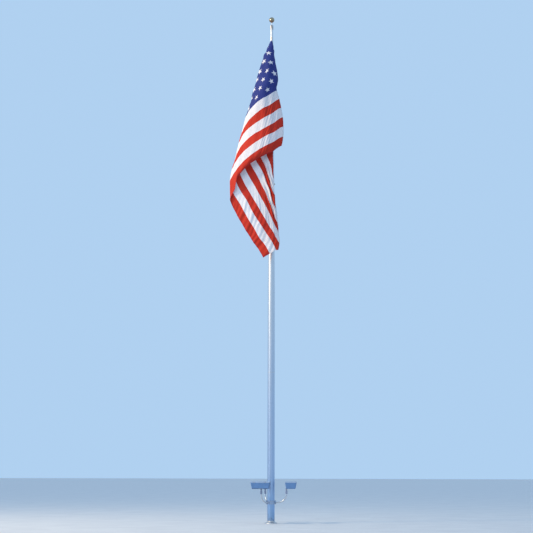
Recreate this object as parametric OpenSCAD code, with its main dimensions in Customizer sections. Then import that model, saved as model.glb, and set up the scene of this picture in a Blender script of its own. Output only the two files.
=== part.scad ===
// Flagpole: cone tapered aluminium shaft with a revolving truck, a ball
// finial, a limp flag and three floodlights on bent tube arms at the base.
// Origin on the pole's axis at ground level, +Z up, -Y is the flag's side.

/* [Shaft] */
// Height of the shaft above the ground
pole_h = 18228; // [16000:1:20000]
// Outside diameter of the straight lower part
butt_d = 254; // [230:1:270]
// Outside diameter at the top
top_d = 101.6; // [95:0.1:110]
// Height where the taper starts
taper_z = 8230; // [7000:1:9000]
// Height of the lower section joint
splice_1 = 5250; // [4500:1:6000]
// Height of the upper section joint
splice_2 = 11700; // [11000:1:12400]
// Wall thickness of the lower and middle sections
wall_low = 6.35; // [5:0.05:8]
// Wall thickness of the upper section
wall_top = 4.8; // [4:0.05:6]

/* [Base] */
// Outside diameter of the flash collar
flash_d = 444; // [400:1:520]
// Height of the flash collar
flash_h = 90; // [70:1:120]

/* [Light bracket] */
// Height of the arms' straight part
arm_z = 720; // [680:1:760]
// Outside diameter of the arm tube
arm_d = 48.3; // [42:0.1:50]
// Radius at which the arms stand upright
arm_r = 546; // [520:1:580]
// Bend radius of the arms
bend_r = 300; // [260:1:320]

/* [Floodlights] */
// Length of a floodlight across its knuckle axis plane
light_l = 400; // [380:1:420]
// Width of a floodlight along its knuckle axis
light_w = 660; // [600:1:680]
// Height of the knuckle bolt
pivot_z = 1165; // [1150:1:1180]
// Height of the floodlight's top rim
light_top = 1440; // [1420:1:1460]

/* [Truck and finial] */
// Diameter of the ball
ball_d = 203; // [150:1:260]
// Height of the ball's centre
ball_z = 18578; // [18560:1:18620]
// Distance of the halyard from the pole's axis
rope_r = 108; // [106:1:112]
// Diameter of the halyard
rope_d = 10; // [8:0.5:12]

/* [Flag] */
// Distance of the flag's back from the pole's axis
flag_back = 150; // [148:1:170]

/* [Hidden] */

$fn = 96;
alu = [0.72, 0.76, 0.82];
cast = [0.62, 0.66, 0.72];
grey = [0.66, 0.72, 0.80];

// Outer radius of the shaft at height z
function shaft_r(z) = z <= taper_z ? butt_d / 2
  : butt_d / 2 - (butt_d - top_d) / 2 * (z - taper_z) / (pole_h - taper_z);

// Directions of the three arms, and of the outward side of their lights
arm_a = [-8, 232, 112];
light_a = [0, 262, 112];

// ---------------------------------------------------------------- shaft
module tube_section(z0, z1, wall) {
  mid = (z0 < taper_z && z1 > taper_z) ? [taper_z] : [];
  zs = concat([z0], mid, [z1]);
  n = len(zs);
  pts = concat(
    [for (i = [0 : n - 1]) [shaft_r(zs[i]), zs[i]]],
    [for (i = [n - 1 : -1 : 0]) [shaft_r(zs[i]) - wall, zs[i]]]);
  rotate_extrude() polygon(pts);
}

door_z = 1900;
door_w = 110;
door_h = 300;

// A slab with round ends, standing in the XZ plane on the +Y side
module door_slab(w, h, y0, y1) {
  translate([0, y0, door_z]) rotate([-90, 0, 0]) {
    translate([-w / 2, -(h - w) / 2, 0]) cube([w, h - w, y1 - y0]);
    translate([0, (h - w) / 2, 0]) cylinder(d = w, h = y1 - y0);
    translate([0, -(h - w) / 2, 0]) cylinder(d = w, h = y1 - y0);
  }
}

module shaft_lower() {
  color(alu) difference() {
    tube_section(0, splice_1, wall_low);
    door_slab(door_w + 24, door_h + 24, 60, 160);
  }
}

module shaft_middle() {
  color(alu) tube_section(splice_1, splice_2, wall_low);
}

module shaft_upper() {
  color(alu) tube_section(splice_2, pole_h, wall_top);
}

module butt_plate() {
  color(alu) cylinder(d = butt_d - 2 * wall_low, h = 12);
}

// Door frame: a ring let into the wall, standing 3 mm proud
module door_frame() {
  color(cast) difference() {
    intersection() {
      door_slab(door_w + 23.6, door_h + 23.6, 60, 160);
      difference() {
        translate([0, 0, door_z - 300]) cylinder(r = butt_d / 2 + 3, h = 600);
        translate([0, 0, door_z - 301]) cylinder(r = butt_d / 2 - 16, h = 602);
      }
    }
    door_slab(door_w, door_h, 50, 170);
  }
}

module access_door() {
  color(alu) {
    intersection() {
      door_slab(door_w - 2, door_h - 2, 60, 160);
      difference() {
        translate([0, 0, door_z - 300]) cylinder(r = butt_d / 2 + 3, h = 600);
        translate([0, 0, door_z - 301]) cylinder(r = butt_d / 2 - 5, h = 602);
      }
    }
    for (s = [-1, 1])
      translate([0, butt_d / 2 - 3, door_z + s * (door_h / 2 - 24)])
        rotate([-90, 0, 0]) cylinder(d = 16, h = 9);
  }
}

// Spun collar that covers the ground joint
module flash_collar() {
  r = butt_d / 2 + 0.6;
  color(alu) rotate_extrude() polygon([
    [flash_d / 2, 0], [flash_d / 2, 10], [flash_d / 2 - 6, 22],
    [flash_d / 2 - 26, 34], [flash_d / 2 - 58, 46], [r + 20, 62],
    [r + 8, 76], [r + 3.2, flash_h], [r, flash_h],
    [r, 76], [r + 16, 58], [flash_d / 2 - 60, 42],
    [flash_d / 2 - 28, 30], [flash_d / 2 - 9, 19], [flash_d / 2 - 3.2, 9],
    [flash_d / 2 - 3.2, 0]]);
}

// ------------------------------------------------------- light bracket
col_in = butt_d / 2 + 0.3;
col_out = butt_d / 2 + 11;
col_h = 130;
split_a = 22;

module socket(a) {
  rotate([0, 0, a]) translate([col_in + 4, 0, arm_z]) rotate([0, 90, 0])
    cylinder(d = 66, h = 50);
}

module socket_bore(a) {
  rotate([0, 0, a]) translate([150, 0, arm_z]) rotate([0, 90, 0])
    cylinder(d = arm_d + 0.4, h = 80);
}

// One side of a bolted joint: s is 1 or -1, the side of the split it stands on
module lug(a, s) {
  rotate([0, 0, a]) translate([col_in + 3, s > 0 ? 2.5 : -18.5, arm_z - col_h / 2])
    cube([50, 16, col_h]);
}

module bolt_holes(a) {
  for (s = [-1, 1]) rotate([0, 0, a])
    translate([col_in + 35, -60, arm_z + s * 38]) rotate([-90, 0, 0])
      cylinder(d = 13, h = 120);
}

// The half ring that starts at angle a
module collar_half(a, arms) {
  color(cast) difference() {
    union() {
      rotate([0, 0, a + 2]) rotate_extrude(angle = 176)
        translate([col_in, arm_z - col_h / 2]) square([col_out - col_in, col_h]);
      for (b = arms) socket(b);
      lug(a, 1);
      lug(a + 180, -1);
    }
    for (b = arms) socket_bore(b);
    bolt_holes(a);
    bolt_holes(a + 180);
  }
}

module collar_front() { collar_half(split_a + 180, [arm_a[0], arm_a[1]]); }
module collar_back() { collar_half(split_a, [arm_a[2]]); }

module clamp_bolts() {
  color("silver")
    for (a = [split_a, split_a + 180]) for (s = [-1, 1]) rotate([0, 0, a])
      translate([col_in + 35, 0, arm_z + s * 38]) rotate([-90, 0, 0]) {
        translate([0, 0, -32]) cylinder(d = 12, h = 64);
        translate([0, 0, 18.52]) cylinder(d = 22, h = 9, $fn = 6);
        translate([0, 0, -27.52]) cylinder(d = 22, h = 9, $fn = 6);
      }
}

module arm(a) {
  color(alu) rotate([0, 0, a]) {
    r0 = arm_r - bend_r;
    translate([151, 0, arm_z]) rotate([0, 90, 0]) difference() {
      cylinder(d = arm_d, h = r0 - 151);
      translate([0, 0, -1]) cylinder(d = arm_d - 7.4, h = r0 - 149);
    }
    translate([r0, 0, arm_z + bend_r]) rotate([90, 0, 0]) rotate([0, 0, -90])
      rotate_extrude(angle = 90) translate([bend_r, 0]) difference() {
        circle(d = arm_d, $fn = 48);
        circle(d = arm_d - 7.4, $fn = 48);
      }
    translate([arm_r, 0, arm_z + bend_r]) difference() {
      cylinder(d = arm_d, h = 80);
      translate([0, 0, -1]) cylinder(d = arm_d - 7.4, h = 82);
    }
  }
}

module arm_right() { arm(arm_a[0]); }
module arm_front_left() { arm(arm_a[1]); }
module arm_back_left() { arm(arm_a[2]); }

// Places a light's own frame: X outward, Y along the knuckle bolt, Z up,
// origin at the knuckle bolt
module at_light(i) {
  rotate([0, 0, arm_a[i]]) translate([arm_r, 0, pivot_z])
    rotate([0, 0, light_a[i] - arm_a[i]]) children();
}

module slipfitter(i) {
  color(cast) at_light(i) difference() {
    union() {
      translate([0, 0, -150]) cylinder(d = 68, h = 108);
      translate([0, 0, -158]) cylinder(d = 76, h = 16);
      translate([-20, -10, -44]) cube([40, 20, 44]);
      rotate([90, 0, 0]) translate([0, 0, -10]) cylinder(d = 48, h = 20);
      // set screws
      for (a = [60, 180, 300]) rotate([0, 0, a]) translate([30, 0, -110])
        rotate([0, 90, 0]) cylinder(d = 14, h = 13, $fn = 6);
    }
    translate([0, 0, -160]) cylinder(d = arm_d + 0.4, h = 96);
    rotate([90, 0, 0]) translate([0, 0, -30]) cylinder(d = 12.2, h = 60);
  }
}

module slipfitter_right() { slipfitter(0); }
module slipfitter_front_left() { slipfitter(1); }
module slipfitter_back_left() { slipfitter(2); }

module pivot_bolts() {
  color("silver") for (i = [0 : 2]) at_light(i) rotate([90, 0, 0]) {
    translate([0, 0, -32]) cylinder(d = 12, h = 64);
    translate([0, 0, 24]) cylinder(d = 22, h = 9, $fn = 6);
    translate([0, 0, -33]) cylinder(d = 22, h = 9, $fn = 6);
  }
}

// -------------------------------------------------------- floodlights
lf = light_top - pivot_z;         // rim height above the bolt
frame_t = 46;                     // depth of the lens frame
body_0 = 41;                      // underside of the housing
body_1 = lf - frame_t;            // top of the housing
lx0 = -50;                        // inner face, from the bolt

module knuckle(i) {
  color(cast) at_light(i) {
    for (s = [-1, 1]) difference() {
      union() {
        translate([0, s * 17, 0]) rotate([90, 0, 0])
          cylinder(d = 54, h = 12, center = true);
        translate([-27, s * 17 - 6, 0]) cube([54, 12, 34]);
      }
      rotate([90, 0, 0]) cylinder(d = 12.16, h = 80, center = true);
    }
    translate([-36, -60, 30.5]) cube([130, 120, 10.5]);
  }
}

// A tapered slab of the housing's outline
module body_loft(x0, x1, w, inset, z0, z1, r) {
  hull() {
    for (x = [x0 + r, x1 - r]) for (s = [-1, 1])
      translate([x, s * (w / 2 - r), z1 - 1]) cylinder(r = r, h = 1, $fn = 32);
    for (x = [x0 + r + inset, x1 - r - inset]) for (s = [-1, 1])
      translate([x, s * (w / 2 - r - inset), z0]) cylinder(r = r, h = 1, $fn = 32);
  }
}

module housing(i) {
  color(grey) at_light(i) {
    difference() {
      body_loft(lx0 + 4, lx0 + light_l - 4, light_w - 8, 34, body_0, body_1, 24);
      body_loft(lx0 + 9, lx0 + light_l - 9, light_w - 18, 34, body_0 + 5,
        body_1 + 2, 22);
    }
  }
}

module lens_frame(i) {
  color(grey) at_light(i) difference() {
    translate([lx0, -light_w / 2, body_1]) cube([light_l, light_w, frame_t]);
    translate([lx0 + 26, -light_w / 2 + 26, body_1 - 1])
      cube([light_l - 52, light_w - 52, frame_t + 2]);
    translate([lx0 + 16, -light_w / 2 + 16, lf - 12])
      cube([light_l - 32, light_w - 32, 20]);
  }
}

module lens(i) {
  color([0.75, 0.85, 0.9]) at_light(i)
    translate([lx0 + 17, -light_w / 2 + 17, lf - 12])
      cube([light_l - 34, light_w - 34, 6]);
}

module knuckle_right() { knuckle(0); }
module housing_right() { housing(0); }
module lens_frame_right() { lens_frame(0); }
module lens_right() { lens(0); }
module knuckle_front_left() { knuckle(1); }
module housing_front_left() { housing(1); }
module lens_frame_front_left() { lens_frame(1); }
module lens_front_left() { lens(1); }
module knuckle_back_left() { knuckle(2); }
module housing_back_left() { housing(2); }
module lens_frame_back_left() { lens_frame(2); }
module lens_back_left() { lens(2); }

// --------------------------------------------------------------- truck
// Sleeve on the pole top, with the ring that the truck turns on
module truck_base() {
  color(cast) rotate_extrude() polygon([
    [top_d / 2 + 0.5, pole_h - 46], [59, pole_h - 46], [59, pole_h + 2],
    [54, pole_h + 2], [54, pole_h + 18], [43, pole_h + 18], [43, pole_h + 0.2],
    [top_d / 2 + 0.5, pole_h + 0.2]]);
}

wheel_z = pole_h + 62;     // height of the sheave's axle
wheel_y = 70;              // distance of the axle from the pole's axis
hood_z = pole_h + 118;     // top of the truck

module truck_body() {
  color(cast) difference() {
    union() {
      translate([0, 0, pole_h + 8]) cylinder(r = 61, h = hood_z - pole_h - 8);
      hull() {
        translate([-26, -118, pole_h + 40]) cube([52, 100, 40]);
        translate([-22, -104, pole_h + 40]) cube([44, 90, 76]);
      }
    }
    // bearing seat over the base ring
    translate([0, 0, pole_h + 7]) cylinder(r = 54.08, h = 11.4);
    // slot for the sheave and the halyard
    translate([-13, -130, pole_h + 7.5]) cube([26, 114, 104.5]);
    translate([-70, -wheel_y, wheel_z]) rotate([0, 90, 0])
      cylinder(d = 12, h = 140);
  }
}

module sheave() {
  color([0.3, 0.3, 0.32]) translate([0, -wheel_y, wheel_z]) rotate([0, 90, 0])
    rotate_extrude() polygon([[6.1, -9], [40, -9], [40, -7], [32.8, -5.4],
      [32.8, 5.4], [40, 7], [40, 9], [6.1, 9]]);
}

module sheave_pin() {
  color("silver") translate([-30, -wheel_y, wheel_z]) rotate([0, 90, 0])
    cylinder(d = 11.8, h = 60);
}

module finial_spindle() {
  color(alu) {
    translate([0, 0, hood_z]) cylinder(d = 44, h = 10, $fn = 6);
    translate([0, 0, hood_z]) cylinder(d = 22, h = ball_z - ball_d / 2 - hood_z);
  }
}

module ball_finial() {
  color([0.72, 0.55, 0.25]) translate([0, 0, ball_z]) sphere(d = ball_d);
}

rope_end = 12200;

module halyard() {
  color([0.92, 0.9, 0.86]) {
    translate([0, -rope_r, rope_end]) cylinder(d = rope_d, h = wheel_z - rope_end);
    translate([0, -wheel_y, wheel_z]) rotate([90, 0, 90])
      rotate_extrude(angle = 180) translate([rope_r - wheel_y, 0])
        circle(d = rope_d, $fn = 32);
    translate([0, -2 * wheel_y + rope_r, pole_h - 60])
      cylinder(d = rope_d, h = wheel_z - pole_h + 60);
  }
}

// Covered snap hook hanging in front of the halyard
module snap(z1, len, r, y) {
  translate([0, y, 0]) rotate_extrude() polygon([
    [0, z1 - len], [r * 0.6, z1 - len], [r, z1 - len + r], [r, z1 - r],
    [r * 0.55, z1], [0, z1]]);
}

module snap_top() {
  color([0.86, 0.74, 0.58]) {
    snap(17850, 104, 15, -(rope_r + 20.2));
    translate([0, -rope_r, 17835]) rotate_extrude() translate([8.5, 0])
      circle(r = 3.4, $fn = 24);
  }
}

module snap_bottom() {
  color([0.86, 0.74, 0.58]) {
    snap(13155, 110, 15, -(rope_r + 20.2));
    translate([0, -rope_r, 13060]) rotate_extrude() translate([8.5, 0])
      circle(r = 3.4, $fn = 24);
  }
}

// Beaded ring that keeps the halyard's end against the pole
ring_z = 12170;
module retainer_ring() {
  color([0.85, 0.8, 0.7]) translate([0, 0, ring_z]) {
    rotate([0, 0, -85.5]) rotate_extrude(angle = 351) translate([122, 0])
      circle(r = 4.5, $fn = 24);
    for (k = [0 : 19]) rotate([0, 0, -74 + k * 17.25])
      translate([122, 0, 0]) sphere(r = 14, $fn = 32);
  }
}

module counterweight() {
  color(cast) {
    translate([0, -126, 0]) rotate_extrude() polygon([
      [0, 11840], [14, 11840], [20, 11852], [20, 12126], [13, 12140],
      [0, 12140]]);
    translate([-9, -137, 12130]) cube([18, 33, rope_end - 12130]);
  }
}

// ---------------------------------------------------------------- flag
// Height, left edge, right edge and depth of the hanging cloth's outline
flag_st = [
  [17740, -20, 10, 40],
  [17400, -175, 80, 140],
  [17050, -305, 115, 230],
  [16700, -400, 165, 330],
  [16350, -500, 225, 430],
  [15850, -630, 240, 530],
  [15350, -760, 300, 560],
  [14950, -870, 375, 580],
  [14600, -980, 430, 600],
  [14050, -1115, 450, 640],
  [13500, -1245, 390, 700],
  [12900, -1380, 220, 720],
  [12250, -1515, 130, 690],
  [11900, -1540, 130, 650],
  [11400, -1510, 155, 570],
  [11050, -1370, 200, 530],
  [10650, -1140, 250, 500],
  [10050, -790, 305, 450],
  [9620, -475, 280, 400],
  [9350, -315, -190, 310]];

// Cross section: a flat back and a rounded front, 12 points a ring
ring_n = 12;
function ring_pt(s, k) = let(
    xm = (s[1] + s[2]) / 2, hw = (s[2] - s[1]) / 2,
    a = 180 * k / (ring_n - 1))
  [xm - hw * cos(a), -flag_back - s[3] * (k == 0 || k == ring_n - 1 ? 0
    : pow(sin(a), 0.6)), s[0]];

module flag() {
  n = len(flag_st);
  pts = [for (s = flag_st) for (k = [0 : ring_n - 1]) ring_pt(s, k)];
  side = [for (i = [0 : n - 2]) for (k = [0 : ring_n - 1])
    let(a = i * ring_n + k, b = i * ring_n + (k + 1) % ring_n,
      c = (i + 1) * ring_n + (k + 1) % ring_n, d = (i + 1) * ring_n + k)
    [a, b, c, d]];
  tris = [for (q = side) each [[q[0], q[1], q[2]], [q[0], q[2], q[3]]]];
  top = [for (k = [ring_n - 1 : -1 : 0]) k];
  bot = [for (k = [0 : ring_n - 1]) (n - 1) * ring_n + k];
  color([0.7, 0.15, 0.15]) polyhedron(points = pts,
    faces = concat(tris, [top, bot]), convexity = 6);
}

shaft_lower();
shaft_middle();
shaft_upper();
butt_plate();
flash_collar();
door_frame();
access_door();
collar_front();
collar_back();
clamp_bolts();
arm_right();
arm_front_left();
arm_back_left();
slipfitter_right();
slipfitter_front_left();
slipfitter_back_left();
pivot_bolts();
truck_base();
knuckle_right();
housing_right();
lens_frame_right();
lens_right();
knuckle_front_left();
housing_front_left();
lens_frame_front_left();
lens_front_left();
knuckle_back_left();
housing_back_left();
lens_frame_back_left();
lens_back_left();
truck_body();
sheave();
sheave_pin();
finial_spindle();
ball_finial();
halyard();
snap_top();
snap_bottom();
retainer_ring();
counterweight();
flag();
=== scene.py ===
"""Looks of the flagpole: metres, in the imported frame. -Y is the flag's side and
+X is right in the camera's view."""
import math

import bmesh
import bpy
import numpy as np
from mathutils import Matrix, Vector


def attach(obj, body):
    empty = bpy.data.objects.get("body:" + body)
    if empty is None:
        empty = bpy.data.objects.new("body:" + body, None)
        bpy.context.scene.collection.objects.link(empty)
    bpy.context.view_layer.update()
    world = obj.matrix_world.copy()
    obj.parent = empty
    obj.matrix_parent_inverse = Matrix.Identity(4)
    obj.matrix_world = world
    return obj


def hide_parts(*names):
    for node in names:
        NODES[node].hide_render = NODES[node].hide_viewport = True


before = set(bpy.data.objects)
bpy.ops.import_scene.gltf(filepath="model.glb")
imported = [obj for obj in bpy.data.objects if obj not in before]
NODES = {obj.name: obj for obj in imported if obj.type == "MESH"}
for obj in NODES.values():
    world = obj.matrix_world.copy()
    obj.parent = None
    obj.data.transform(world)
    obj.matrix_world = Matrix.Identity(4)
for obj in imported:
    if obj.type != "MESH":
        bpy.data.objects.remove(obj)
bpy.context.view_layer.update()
scene = bpy.context.scene

# ------------------------------------------------------------------ camera
cam_data = bpy.data.cameras.new("camera")
cam_data.sensor_width = 36
cam_data.lens = 75.79
cam_data.clip_start, cam_data.clip_end = 0.5, 3000
cam = bpy.data.objects.new("camera", cam_data)
scene.collection.objects.link(cam)
cam.matrix_world = (
    Matrix.Translation((0, -40, 1.6))
    @ Matrix.Rotation(math.radians(0.252), 4, "Z")
    @ Matrix.Rotation(math.radians(100.61), 4, "X")
    @ Matrix.Rotation(math.radians(0.142), 4, "Z")
)
scene.camera = cam
scene.view_settings.view_transform = "Standard"
scene.view_settings.look = "None"

# ------------------------------------------------------------- world, lights
world = bpy.data.worlds.new("studio")
scene.world = world
world.use_nodes = True
wt = world.node_tree
wt.nodes.clear()
w_out = wt.nodes.new("ShaderNodeOutputWorld")
w_bg = wt.nodes.new("ShaderNodeBackground")
w_bg.inputs["Color"].default_value = (0.435, 0.635, 0.875, 1)
w_bg.inputs["Strength"].default_value = 1.0
wt.links.new(w_bg.outputs[0], w_out.inputs[0])


def softbox(name, place, aim, watts, color, size):
    data = bpy.data.lights.new(name, "AREA")
    data.shape, data.size = "DISK", size
    data.energy, data.color = watts, color
    o = bpy.data.objects.new(name, data)
    scene.collection.objects.link(o)
    o.location = place
    o.rotation_mode = "QUATERNION"
    o.rotation_quaternion = (Vector(place) - Vector(aim)).to_track_quat("Z", "Y")
    return o


def sun(name, toward, energy, color, angle):
    data = bpy.data.lights.new(name, "SUN")
    data.energy, data.color, data.angle = energy, color, math.radians(angle)
    o = bpy.data.objects.new(name, data)
    scene.collection.objects.link(o)
    o.rotation_mode = "QUATERNION"
    o.rotation_quaternion = Vector(toward).to_track_quat("Z", "Y")
    o.location = Vector(toward) * 30
    return o


softbox("key", (-19.4, -8.9, 20.8), (-0.3, -0.3, 13.0), 4800, (1.0, 0.80, 0.54), 3.6)
sun("fill", (-0.52, -0.83, 0.20), 1.02, (1.0, 0.90, 0.97), 40).visible_glossy = False
sun("side", (-0.90, -0.42, 0.10), 0.13, (0.92, 0.96, 1.0), 22).visible_diffuse = False


# ------------------------------------------------------------ node shorthand
class Tree:
    def __init__(self, name):
        self.mat = bpy.data.materials.new(name)
        self.mat.use_nodes = True
        self.nt = self.mat.node_tree
        self.nt.nodes.clear()
        self.out = self.nt.nodes.new("ShaderNodeOutputMaterial")
        self._pos = None

    def node(self, kind, **props):
        n = self.nt.nodes.new(kind)
        for k, v in props.items():
            setattr(n, k, v)
        return n

    def put(self, sock, v):
        if v is None:
            return
        if isinstance(v, bpy.types.NodeSocket):
            self.nt.links.new(v, sock)
        elif hasattr(v, "__len__") and sock.type == "RGBA" and len(v) == 3:
            sock.default_value = (*v, 1)
        else:
            sock.default_value = v

    def math(self, op, a, b=None, c=None, clamp=False):
        n = self.node("ShaderNodeMath", operation=op, use_clamp=clamp)
        for i, v in enumerate((a, b, c)):
            self.put(n.inputs[i], v)
        return n.outputs[0]

    def pos(self):
        if self._pos is None:
            self._pos = self.node("ShaderNodeTexCoord").outputs["Object"]
        return self._pos

    def vec(self, v, scale=(1, 1, 1), loc=(0, 0, 0), rot=(0, 0, 0)):
        n = self.node("ShaderNodeMapping")
        self.put(n.inputs["Vector"], v)
        n.inputs["Scale"].default_value = scale
        n.inputs["Location"].default_value = loc
        n.inputs["Rotation"].default_value = rot
        return n.outputs[0]

    def split(self, v):
        n = self.node("ShaderNodeSeparateXYZ")
        self.put(n.inputs[0], v)
        return n.outputs[0], n.outputs[1], n.outputs[2]

    def noise(self, v, scale, detail=2.0, rough=0.5, warp=0.0):
        n = self.node("ShaderNodeTexNoise")
        self.put(n.inputs["Vector"], v)
        n.inputs["Scale"].default_value = scale
        n.inputs["Detail"].default_value = detail
        n.inputs["Roughness"].default_value = rough
        n.inputs["Distortion"].default_value = warp
        return n.outputs["Fac"]

    def voronoi(self, v, scale):
        n = self.node("ShaderNodeTexVoronoi")
        self.put(n.inputs["Vector"], v)
        n.inputs["Scale"].default_value = scale
        return n.outputs["Distance"]

    def remap(self, f, a, b, c=0.0, d=1.0, smooth=False):
        n = self.node("ShaderNodeMapRange")
        if smooth:
            n.interpolation_type = "SMOOTHSTEP"
        self.put(n.inputs["Value"], f)
        for k, x in (("From Min", a), ("From Max", b), ("To Min", c), ("To Max", d)):
            self.put(n.inputs[k], x)
        return n.outputs[0]

    def mix(self, f, a, b, blend="MIX"):
        n = self.node("ShaderNodeMix", data_type="RGBA", blend_type=blend)
        self.put(n.inputs[0], f)
        self.put(n.inputs[6], a)
        self.put(n.inputs[7], b)
        return n.outputs[2]

    def bump(self, h, strength, dist, normal=None):
        n = self.node("ShaderNodeBump")
        n.inputs["Strength"].default_value = strength
        n.inputs["Distance"].default_value = dist
        self.put(n.inputs["Height"], h)
        self.put(n.inputs["Normal"], normal)
        return n.outputs[0]

    def edges(self, radius, lo=0.02, hi=0.25):
        """1 along sharp edges"""
        b = self.node("ShaderNodeBevel", samples=4)
        b.inputs["Radius"].default_value = radius
        g = self.node("ShaderNodeNewGeometry")
        d = self.node("ShaderNodeVectorMath", operation="DOT_PRODUCT")
        self.put(d.inputs[0], b.outputs[0])
        self.put(d.inputs[1], g.outputs["Normal"])
        return self.remap(self.math("SUBTRACT", 1.0, d.outputs["Value"]), lo, hi)

    def shader(self, **k):
        p = self.node("ShaderNodeBsdfPrincipled")
        for name, v in k.items():
            self.put(p.inputs[name.replace("_", " ")], v)
        return p.outputs[0]

    def done(self, surface):
        self.nt.links.new(surface, self.out.inputs["Surface"])
        return self.mat


# --------------------------------------------------------------- materials
def satin(name, color, rough, streak=0.10, metal=1.0, dirt=True, painted_low_shade=0.0):
    """drawn tube with a satin grain along it, rain marks and dust at the foot, and painted blue-grey shade lower down
    if asked
    """
    t = Tree(name)
    p = t.pos()
    x, y, z = t.split(p)
    grain = t.noise(t.vec(p, (190, 190, 2.2)), 1.0, 3, 0.6)
    rain = t.noise(t.vec(p, (26, 26, 0.28)), 1.0, 4, 0.62)
    patch = t.noise(t.vec(p, (3, 3, 0.7)), 1.0, 3)
    shade = t.math("ADD", t.math("MULTIPLY", grain, 0.35), t.math("MULTIPLY", rain, 0.65))
    dark = tuple(c * (1 - 2.2 * streak) for c in color)
    lite = tuple(min(1, c * (1 + 0.7 * streak)) for c in color)
    col = t.mix(t.remap(shade, 0.34, 0.66), dark, lite)
    col = t.mix(t.remap(patch, 0.45, 0.75, 0, 0.20), col, tuple(c * 0.86 for c in color))
    r = t.remap(rain, 0.3, 0.7, rough - 0.06, rough + 0.10)
    if painted_low_shade:      # painted shade: blue-grey darkening from about 10.5 m down to 1.5 m
        dull = t.math("MULTIPLY", t.remap(t.math("ADD", z, t.math("MULTIPLY", patch, 1.6)), 1.5, 10.5, 1, 0, True), painted_low_shade)
        col = t.mix(dull, col, (0.64, 0.78, 0.99), "MULTIPLY")
        # painted shade: a further blue-grey darkening below about 2.2 m
        low = t.math("MULTIPLY", t.remap(t.math("ADD", z, t.math("MULTIPLY", patch, 0.5)), 0.3, 2.2, 1, 0, True), painted_low_shade)
        col = t.mix(low, col, (0.68, 0.83, 0.94), "MULTIPLY")
    if dirt:
        foot = t.math("MULTIPLY", t.remap(z, 0.02, 0.55, 1, 0, True),
                      t.remap(t.noise(t.vec(p, (14, 14, 9)), 1.0, 5, 0.65), 0.35, 0.70))
        col = t.mix(t.math("MULTIPLY", foot, 0.55), col, (0.23, 0.20, 0.17))
        r = t.math("ADD", r, t.math("MULTIPLY", foot, 0.3))
    n = t.bump(grain, 0.10, 0.0006)
    n = t.bump(patch, 0.03, 0.004, n)
    return t.done(t.shader(Base_Color=col, Metallic=metal, Roughness=r, Normal=n))


def cast(name, color, rough=0.48, grit=1.0):
    """sandblasted casting, rubbed bright along its edges"""
    t = Tree(name)
    p = t.pos()
    grain = t.noise(p, 520, 2, 0.7)
    pits = t.voronoi(p, 160)
    patch = t.noise(p, 11, 5, 0.6)
    col = t.mix(t.remap(patch, 0.35, 0.7), tuple(c * 0.82 for c in color), color)
    # painted shade: the pits are darkened toward their centres, by up to a quarter
    col = t.mix(t.math("MULTIPLY", t.remap(pits, 0.0, 0.22, 1, 0), 0.25 * grit), col, tuple(c * 0.5 for c in color))
    e = t.math("MULTIPLY", t.edges(0.0022), t.remap(patch, 0.3, 0.6, 0.35, 1.0))
    col = t.mix(t.math("MULTIPLY", e, 0.7), col, tuple(min(1, c * 1.28) for c in color))
    r = t.math("SUBTRACT", t.remap(patch, 0.3, 0.7, rough - 0.05, rough + 0.12), t.math("MULTIPLY", e, 0.14))
    n = t.bump(grain, 0.22 * grit, 0.0005)
    n = t.bump(pits, 0.10 * grit, 0.0008, n)
    return t.done(t.shader(Base_Color=col, Metallic=0.85, Roughness=r, Normal=n))


def painted(name, color, rough=0.40):
    """grey enamel on a casting: orange peel, dust on its upward faces, chips on the edges"""
    t = Tree(name)
    p = t.pos()
    peel = t.noise(p, 210, 2, 0.5)
    wash = t.noise(t.vec(p, (9, 9, 3)), 1.0, 5, 0.62)
    spots = t.noise(p, 95, 3, 0.75)
    col = t.mix(t.remap(wash, 0.32, 0.72), tuple(c * 0.84 for c in color), color)
    g = t.node("ShaderNodeNewGeometry")
    up = t.split(g.outputs["Normal"])[2]
    dust = t.math("MULTIPLY", t.remap(up, 0.2, 0.95, 0, 0.35), t.remap(wash, 0.3, 0.7))
    col = t.mix(dust, col, (0.46, 0.43, 0.38))
    chip = t.math("MULTIPLY", t.edges(0.0018, 0.05, 0.22), t.remap(spots, 0.50, 0.56))
    col = t.mix(chip, col, (0.68, 0.69, 0.70))
    r = t.math("ADD", t.remap(wash, 0.3, 0.7, rough, rough + 0.14), t.math("MULTIPLY", dust, 0.3))
    n = t.bump(peel, 0.08, 0.0008)
    n = t.bump(chip, 0.25, 0.0004, n)
    return t.done(t.shader(Base_Color=col, Metallic=chip, Roughness=r, Normal=n))


def steel(name, color=(0.62, 0.62, 0.63), rough=0.32):
    """plated steel with dull spots"""
    t = Tree(name)
    p = t.pos()
    spots = t.noise(p, 130, 4, 0.7)
    rings = t.noise(t.vec(p, (30, 30, 30)), 1.0, 3)
    col = t.mix(t.remap(spots, 0.48, 0.70), color, tuple(c * 0.62 for c in color))
    col = t.mix(t.remap(rings, 0.58, 0.75, 0, 0.4), col, (0.42, 0.33, 0.24))
    r = t.remap(spots, 0.35, 0.7, rough - 0.06, rough + 0.2)
    return t.done(t.shader(Base_Color=col, Metallic=1.0, Roughness=r, Normal=t.bump(spots, 0.12, 0.0004)))


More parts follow.
